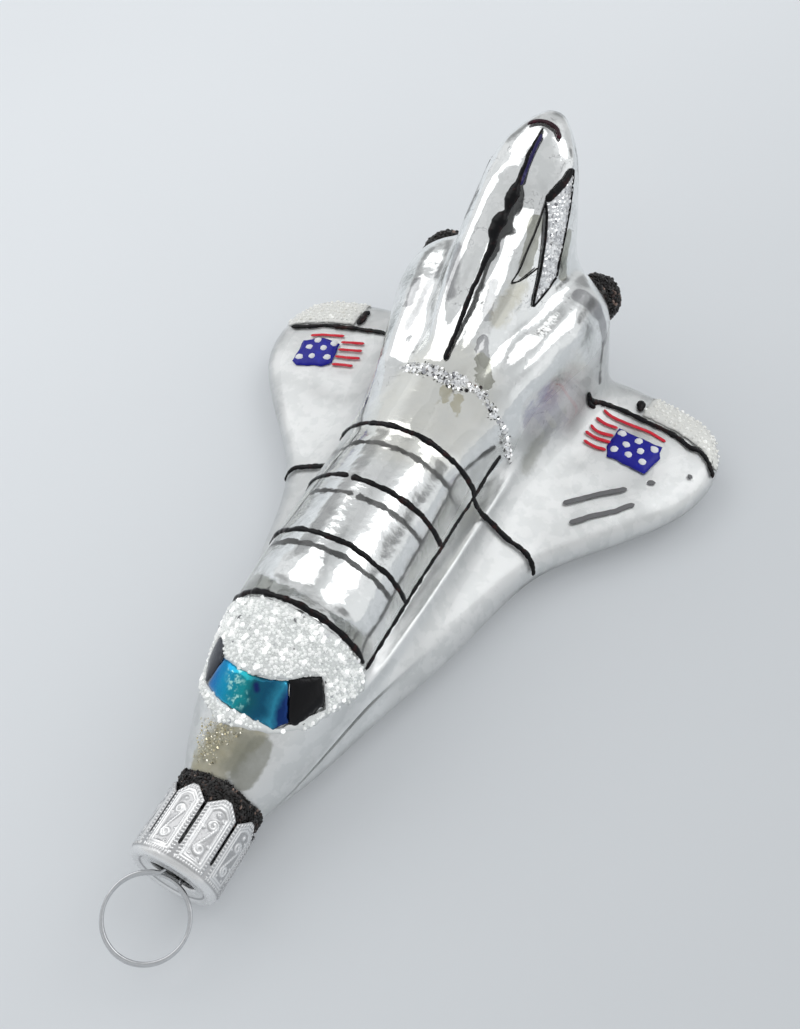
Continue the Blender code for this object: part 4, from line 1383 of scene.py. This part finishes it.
collar = neck_sheet()
collar_grains = glitter("collar_grains", collar, CHIP, 0.28, 0.29, BLACK_CHIPS, thin=0.1, tilt=1.5, seed=50)
dress(joined("collar_of_black_glitter", [collar, collar_grains]), "black_glitter", "neck_glitter")
for word in POD_BALLS:
    ball = pod_end(word)
    chips = glitter("pod_chips", ball, CHIP, 0.42, 0.40, BLACK_CHIPS, thin=0.1, tilt=1.5, seed=60)
    dress(joined(f"pod_end_{word}", [ball, chips]), "black_glitter", f"pod_glitter_{word}")


# %% [markdown]
# Each wing carries a small painted flag: red stripes on the bare silver, and a blue corner
# with white dots.

# %% Flags
DOT_RADIUS = 0.72
FLAGS = {
    "right": {
        "canton": ((21.5, 88.3), (28.3, 87.9), (28.8, 85.9), (27.9, 82.4), (21.8, 82.8), (21.2, 84.5)),
        "dots": (
            (22.3, 87.5), (25.0, 87.3), (27.6, 86.9), (23.6, 85.9), (25.9, 85.7), (22.4, 84.3), (24.6, 84.3),
            (26.9, 84.0),
        ),
        "stripes": (
            ((17.9, 90.1), (19.6, 89.7), (22.2, 89.8), (25.8, 89.8), (28.6, 89.2)),
            ((17.5, 88.1), (19.2, 88.0), (21.3, 88.3)),
            ((17.3, 86.5), (19.0, 86.1), (21.3, 86.7)),
            ((17.1, 85.0), (19.0, 84.9), (21.4, 85.3)),
            ((17.6, 83.5), (19.5, 83.4), (21.4, 83.7)),
        ),
    },
    "left": {
        "canton": (
            (-31.2, 85.4), (-28.4, 86.9), (-25.2, 86.6), (-24.3, 82.5), (-25.4, 81.5), (-29.5, 80.2),
            (-30.5, 80.8),
        ),
        "dots": (
            (-28.8, 86.0), (-26.0, 86.2), (-29.4, 84.2), (-27.1, 84.8), (-28.0, 82.6), (-25.6, 83.3),
            (-29.8, 81.8),
        ),
        "stripes": (
            ((-30.8, 86.8), (-28.6, 87.6), (-25.4, 88.4)),
            ((-25.2, 87.0), (-23.4, 87.5), (-21.3, 88.0)),
            ((-24.8, 85.5), (-22.8, 86.0), (-20.9, 86.4)),
            ((-24.6, 84.0), (-22.6, 84.4), (-20.5, 84.8)),
            ((-24.2, 82.3), (-22.5, 82.8), (-20.8, 83.1)),
        ),
    },
}


def dot_of_paint(x, y):
    angles = [math.radians(a) for a in range(0, 360, 30)]
    loop = [(x + DOT_RADIUS * math.cos(a), y + DOT_RADIUS * math.sin(a)) for a in angles]
    return patch("dot", loop, rays_down, 0.36, WHITE, 0.12, 0.25, 0.3, seed=int(100 * x))


for word, flag in FLAGS.items():
    canton = patch("canton", flag["canton"], rays_down, 0.2, BLUE, 0.2, seed=70 + len(word))
    stripes = [[(x, y, 8) for x, y in stripe] for stripe in flag["stripes"]]
    lines = paint_stroke("stripes", stripes, 0.55, RED, height=0.1, uneven=0.35, seed=71)
    layers = [canton, lines, *(dot_of_paint(x, y) for x, y in flag["dots"])]
    dress(joined(f"painted_flag_{word}", layers), "flag_paint", f"flag_{word}")


# %% [markdown]
# The cap is one pressed sheet. A round end with a slot turns over a smooth rim into a short
# band, and eight petals grow from the band. Each petal is embossed with a beaded border, a
# raised frame, a scroll and a few studs. One petal is a fine grid whose height follows that
# drawing, and a small tree sets eight of them round the axis.

# %% Crown cap
CAP_RADIUS = 6.22
CAP_ROLL = 18.0
PETALS = 8
SECTOR = math.pi / PETALS
PETAL_TURN = 13.0
PETAL_FOOT = 0.95
SLIT_FOOT = 2.7
SLIT_SHARE = 0.085
PETAL_VALLEY = 8.8
PETAL_TIP = 10.3
SLOT_HALF_LENGTH, SLOT_HALF_WIDTH = 3.2, 1.6
SHEET = 0.25
PRESSED_IN = 0.14
ACROSS, ALONG = 44, 74
SCROLL_MIDDLE, SCROLL_SPREAD = 5.05, 1.6
SCROLL_STEPS, LINK_STEPS = 21, 10
STUDS = (
    (0, 8.15, 0.24), (0.85, 7.75, 0.13), (-0.9, 6.0, 0.13), (0.9, 4.2, 0.13), (-0.8, 2.4, 0.13),
    (0.6, 2.4, 0.13),
)
LIP_ROWS = ((1.0, 1.0, 0.9, -0.05), (1.03, 1.05, 0.5, 0.12), (1.12, 1.25, 0.42, 0.12))
END_ROWS = (
    (4.35, 0.40, 0.1), (4.6, 0.34, -0.05), (4.75, 0.20, 0.12), (5.0, 0.08, 0.12), (5.35, 0.03, 0.12),
    (5.65, 0.14, 0.12), (5.9, 0.38, 0.12), (6.02, 0.66, 0.12), (CAP_RADIUS - PRESSED_IN, PETAL_FOOT, 0.0),
)


def cap_metal():
    finish = Finish("cap_metal", metallic=1.0)
    worn = finish.clouds(1.2, 3, 0.6)
    # Painted shade with some grime: the metal is darkened in the hollows of the pressing.
    hollow_shade_and_grime = 1 - finish.fade(finish.attribute("relief"), -0.02, 0.10)
    bright = finish.blend(worn, (0.80, 0.80, 0.80), (0.95, 0.95, 0.95))
    finish.set("Base Color", finish.blend(hollow_shade_and_grime * 0.6, bright, (0.22, 0.22, 0.23)))
    finish.set("Roughness", 0.18 + 0.2 * worn)
    finish.bump(finish.clouds(0.5, 2, 0.6, 2), 0.03)
    return finish.material


def scroll_points():
    """The S-shaped scroll of a petal: a spiral at each end and a slanting stroke between."""
    spiral = []
    for k in range(SCROLL_STEPS + 1):
        turn = k / SCROLL_STEPS
        angle = math.radians(90 - 450 * turn)
        reach = 0.2 + 0.5 * turn
        spiral.append((reach * math.cos(angle), SCROLL_MIDDLE + SCROLL_SPREAD + reach * math.sin(angle)))
    shares = [1 - 2 * k / LINK_STEPS for k in range(1, LINK_STEPS)]
    link = [(0.7 * share, SCROLL_MIDDLE + SCROLL_SPREAD * share) for share in shares]
    return spiral + link + [(-x, 2 * SCROLL_MIDDLE - y) for x, y in spiral]


def hill(away, width):
    """A bell-shaped height around zero."""
    return np.exp(-((away / width) ** 2))


def petal_relief(x, y, half_width, top):
    """Height of the pressed drawing in millimetres, for arrays of places on one petal."""
    side_gap = half_width - np.abs(x)
    top_gap = (top - y) * 0.78
    foot_gap = y - PETAL_FOOT
    gap = np.minimum(np.minimum(side_gap, top_gap), foot_gap)
    run = np.where(side_gap < np.minimum(top_gap, foot_gap), y, x * 1.2)
    beads = 0.17 * hill(gap - 0.28, 0.15) * (0.4 + 0.6 * np.cos(2 * np.pi * run / 0.47))
    relief = beads + 0.12 * hill(gap - 0.66, 0.10) + 0.12 * hill(gap - 1.02, 0.13)
    curl = np.array(scroll_points())
    away = np.sqrt((x[..., None] - curl[:, 0]) ** 2 + (y[..., None] - curl[:, 1]) ** 2).min(-1)
    relief = relief + 0.17 * hill(away, 0.15)
    for cx, cy, size in STUDS:
        relief = relief + 0.2 * np.exp(-((x - cx) ** 2 + (y - cy) ** 2) / size**2)
    return relief * np.clip(foot_gap / 0.15, 0, 1)


def pressed_sheet(name, rows, metal, **layout):
    """A mesh from rows of places, each place with the height of the relief there."""
    bm = bmesh.new()
    layer = bm.verts.layers.float.new("relief")
    grid = []
    for row in rows:
        line = []
        for place, height in row:
            vert = bm.verts.new(Vector(place) * MM)
            vert[layer] = height
            line.append(vert)
        grid.append(line)
    strips(bm, grid, **layout)
    return keep(name, mesh_from(bm, name), metal)


def petal_mesh(metal):
    """One eighth of the wall, from the foot to the petal's tip, with a slit beside it."""
    u = np.linspace(-1, 1, ACROSS + 1)[None, :]
    v = np.linspace(0, 1, ALONG + 1)[:, None]
    top = PETAL_VALLEY + (PETAL_TIP - PETAL_VALLEY) * np.minimum(1, 1.25 * (1 - np.abs(u)))
    y = PETAL_FOOT + v * (top - PETAL_FOOT)
    slit = np.clip((y - SLIT_FOOT) / 0.2, 0, 1) * SLIT_SHARE
    angle = u * SECTOR * (1 - slit)
    half_width = SECTOR * CAP_RADIUS * (1 - SLIT_SHARE)
    relief = petal_relief(angle * CAP_RADIUS, y, half_width, np.broadcast_to(top, y.shape))
    radius = CAP_RADIUS - PRESSED_IN + relief
    rows = [
        [
            ((out * math.sin(turn), along, out * math.cos(turn)), height)
            for out, turn, along, height in zip(*columns)
        ]
        for columns in zip(radius, angle, y, relief)
    ]
    return pressed_sheet("petal", rows, metal, closed=False, flip=True)


def cap_end(metal):
    """The end with its slot and the rounded rim, as rings from the slot outwards."""
    columns = PETALS * ACROSS
    first = math.radians(PETAL_TURN) - SECTOR
    angles = [first + 2 * math.pi * k / columns for k in range(columns)]
    rings = [(SLOT_HALF_LENGTH * a, SLOT_HALF_WIDTH * b, y, height) for a, b, y, height in LIP_ROWS]
    rings += [(radius, radius, y, height) for radius, y, height in END_ROWS]
    rows = [
        [((long * math.sin(angle), y, wide * math.cos(angle)), height) for angle in angles]
        for long, wide, y, height in rings
    ]
    return pressed_sheet("cap_end", rows, metal)


def crown_tree():
    board = Recipe("crown", Petal="Geometry", Count="Int", First_Turn="Float", Metal="Material")
    petal, count, first, metal = board.given
    points = board.step("Points", Count=count)
    step = 2 * math.pi / PETALS
    turn = board.node("ShaderNodeCombineXYZ", {}, {"Y": first + board.step("InputIndex") * step})
    set_round = board.step("InstanceOnPoints", Points=points, Instance=petal, Rotation=turn)
    return board.finished(set_round, metal)


def into_place(mesh):
    """From the cap's own axes to the frame: turned about the neck's axis and lifted."""
    roll = Matrix.Rotation(math.radians(CAP_ROLL), 4, "Y")
    mesh.transform(Matrix.Translation(at(0, 0, NECK_Z)) @ roll)


def sewn(mesh):
    """Closes the seams between the petals' feet and the end."""
    bm = bmesh.new()
    bm.from_mesh(mesh)
    bmesh.ops.remove_doubles(bm, verts=bm.verts, dist=0.004 * MM)
    bmesh.ops.recalc_face_normals(bm, faces=bm.faces)
    bm.to_mesh(mesh)
    bm.free()


metal = cap_metal()
crown = {"Count": PETALS, "First Turn": math.radians(PETAL_TURN), "Metal": metal}
petals = grown(crown_tree(), petal_mesh(metal), "petals", crown)
thin_cap = joined("thin_cap", [cap_end(metal), petals])
into_place(thin_cap.data)
sewn(thin_cap.data)
wall = thin_cap.modifiers.new("sheet", "SOLIDIFY")
wall.thickness = SHEET * MM
wall.offset = -1
cap = keep("pressed_crown_cap", evaluated(thin_cap))
bpy.data.objects.remove(thin_cap)
cap.data.shade_smooth()
dress(cap, "cap_metal", "crown_cap", body="cap")

# %% [markdown]
# The hanger is spring wire wound nearly twice into a ring. Its two ends go through the slot
# and spread inside the neck, which is all that holds the cap on.

# %% Wire hanger
WIRE_RADIUS = 0.25
RING_RADIUS = 5.3
RING_REACH = 5.2
RING_DROOP = 12.0
RING_PITCH = 1.05
RING_START, RING_TOTAL, RING_STEPS = 106, 688, 150
LEG = ((-1.9, 4.8, 0.3), (-1.2, 1.6, 0.45), (-1.15, 0.7, 0.5))


def wire_metal():
    finish = Finish("wire_steel", metallic=1.0)
    drawn = finish.clouds(0.8, 3, 0.6)
    finish.set("Base Color", finish.blend(drawn, (0.50, 0.51, 0.53), (0.72, 0.73, 0.74)))
    finish.set("Roughness", 0.16 + 0.14 * drawn)
    return finish.material


def hanger_points():
    """Up one leg, nearly twice round the drooping ring and down the other leg."""
    droop = math.radians(RING_DROOP)
    points = list(LEG)
    for k in range(RING_STEPS + 1):
        turn = math.radians(RING_START + RING_TOTAL * k / RING_STEPS)
        across = RING_RADIUS * math.cos(turn)
        out = -RING_REACH + RING_RADIUS * math.sin(turn)
        level = RING_PITCH * (0.5 - k / RING_STEPS)
        points.append((
            across,
            out * math.cos(droop) + level * math.sin(droop),
            out * math.sin(droop) + level * math.cos(droop),
        ))
    return points + [(-x, y, -z) for x, y, z in reversed(LEG)]


def hanger():
    data = bpy.data.curves.new("hanger", "CURVE")
    data.dimensions = "3D"
    data.bevel_depth = WIRE_RADIUS * MM
    data.bevel_resolution = 4
    data.use_fill_caps = True
    spline = data.splines.new("POLY")
    points = hanger_points()
    spline.points.add(len(points) - 1)
    for target, point in zip(spline.points, points):
        target.co = (*(Vector(point) * MM), 1)
    carrier = keep("hanger", data, wire_metal())
    mesh = evaluated(carrier)
    bpy.data.objects.remove(carrier)
    into_place(mesh)
    mesh.shade_smooth()
    return keep("hanging_ring", mesh)


dress(hanger(), "wire", "wire_hanger", body="hanger")

# %% [markdown]
# Last, the grains used as stencils go.

# %% Finish
for grain in STENCILS:
    bpy.data.objects.remove(grain)
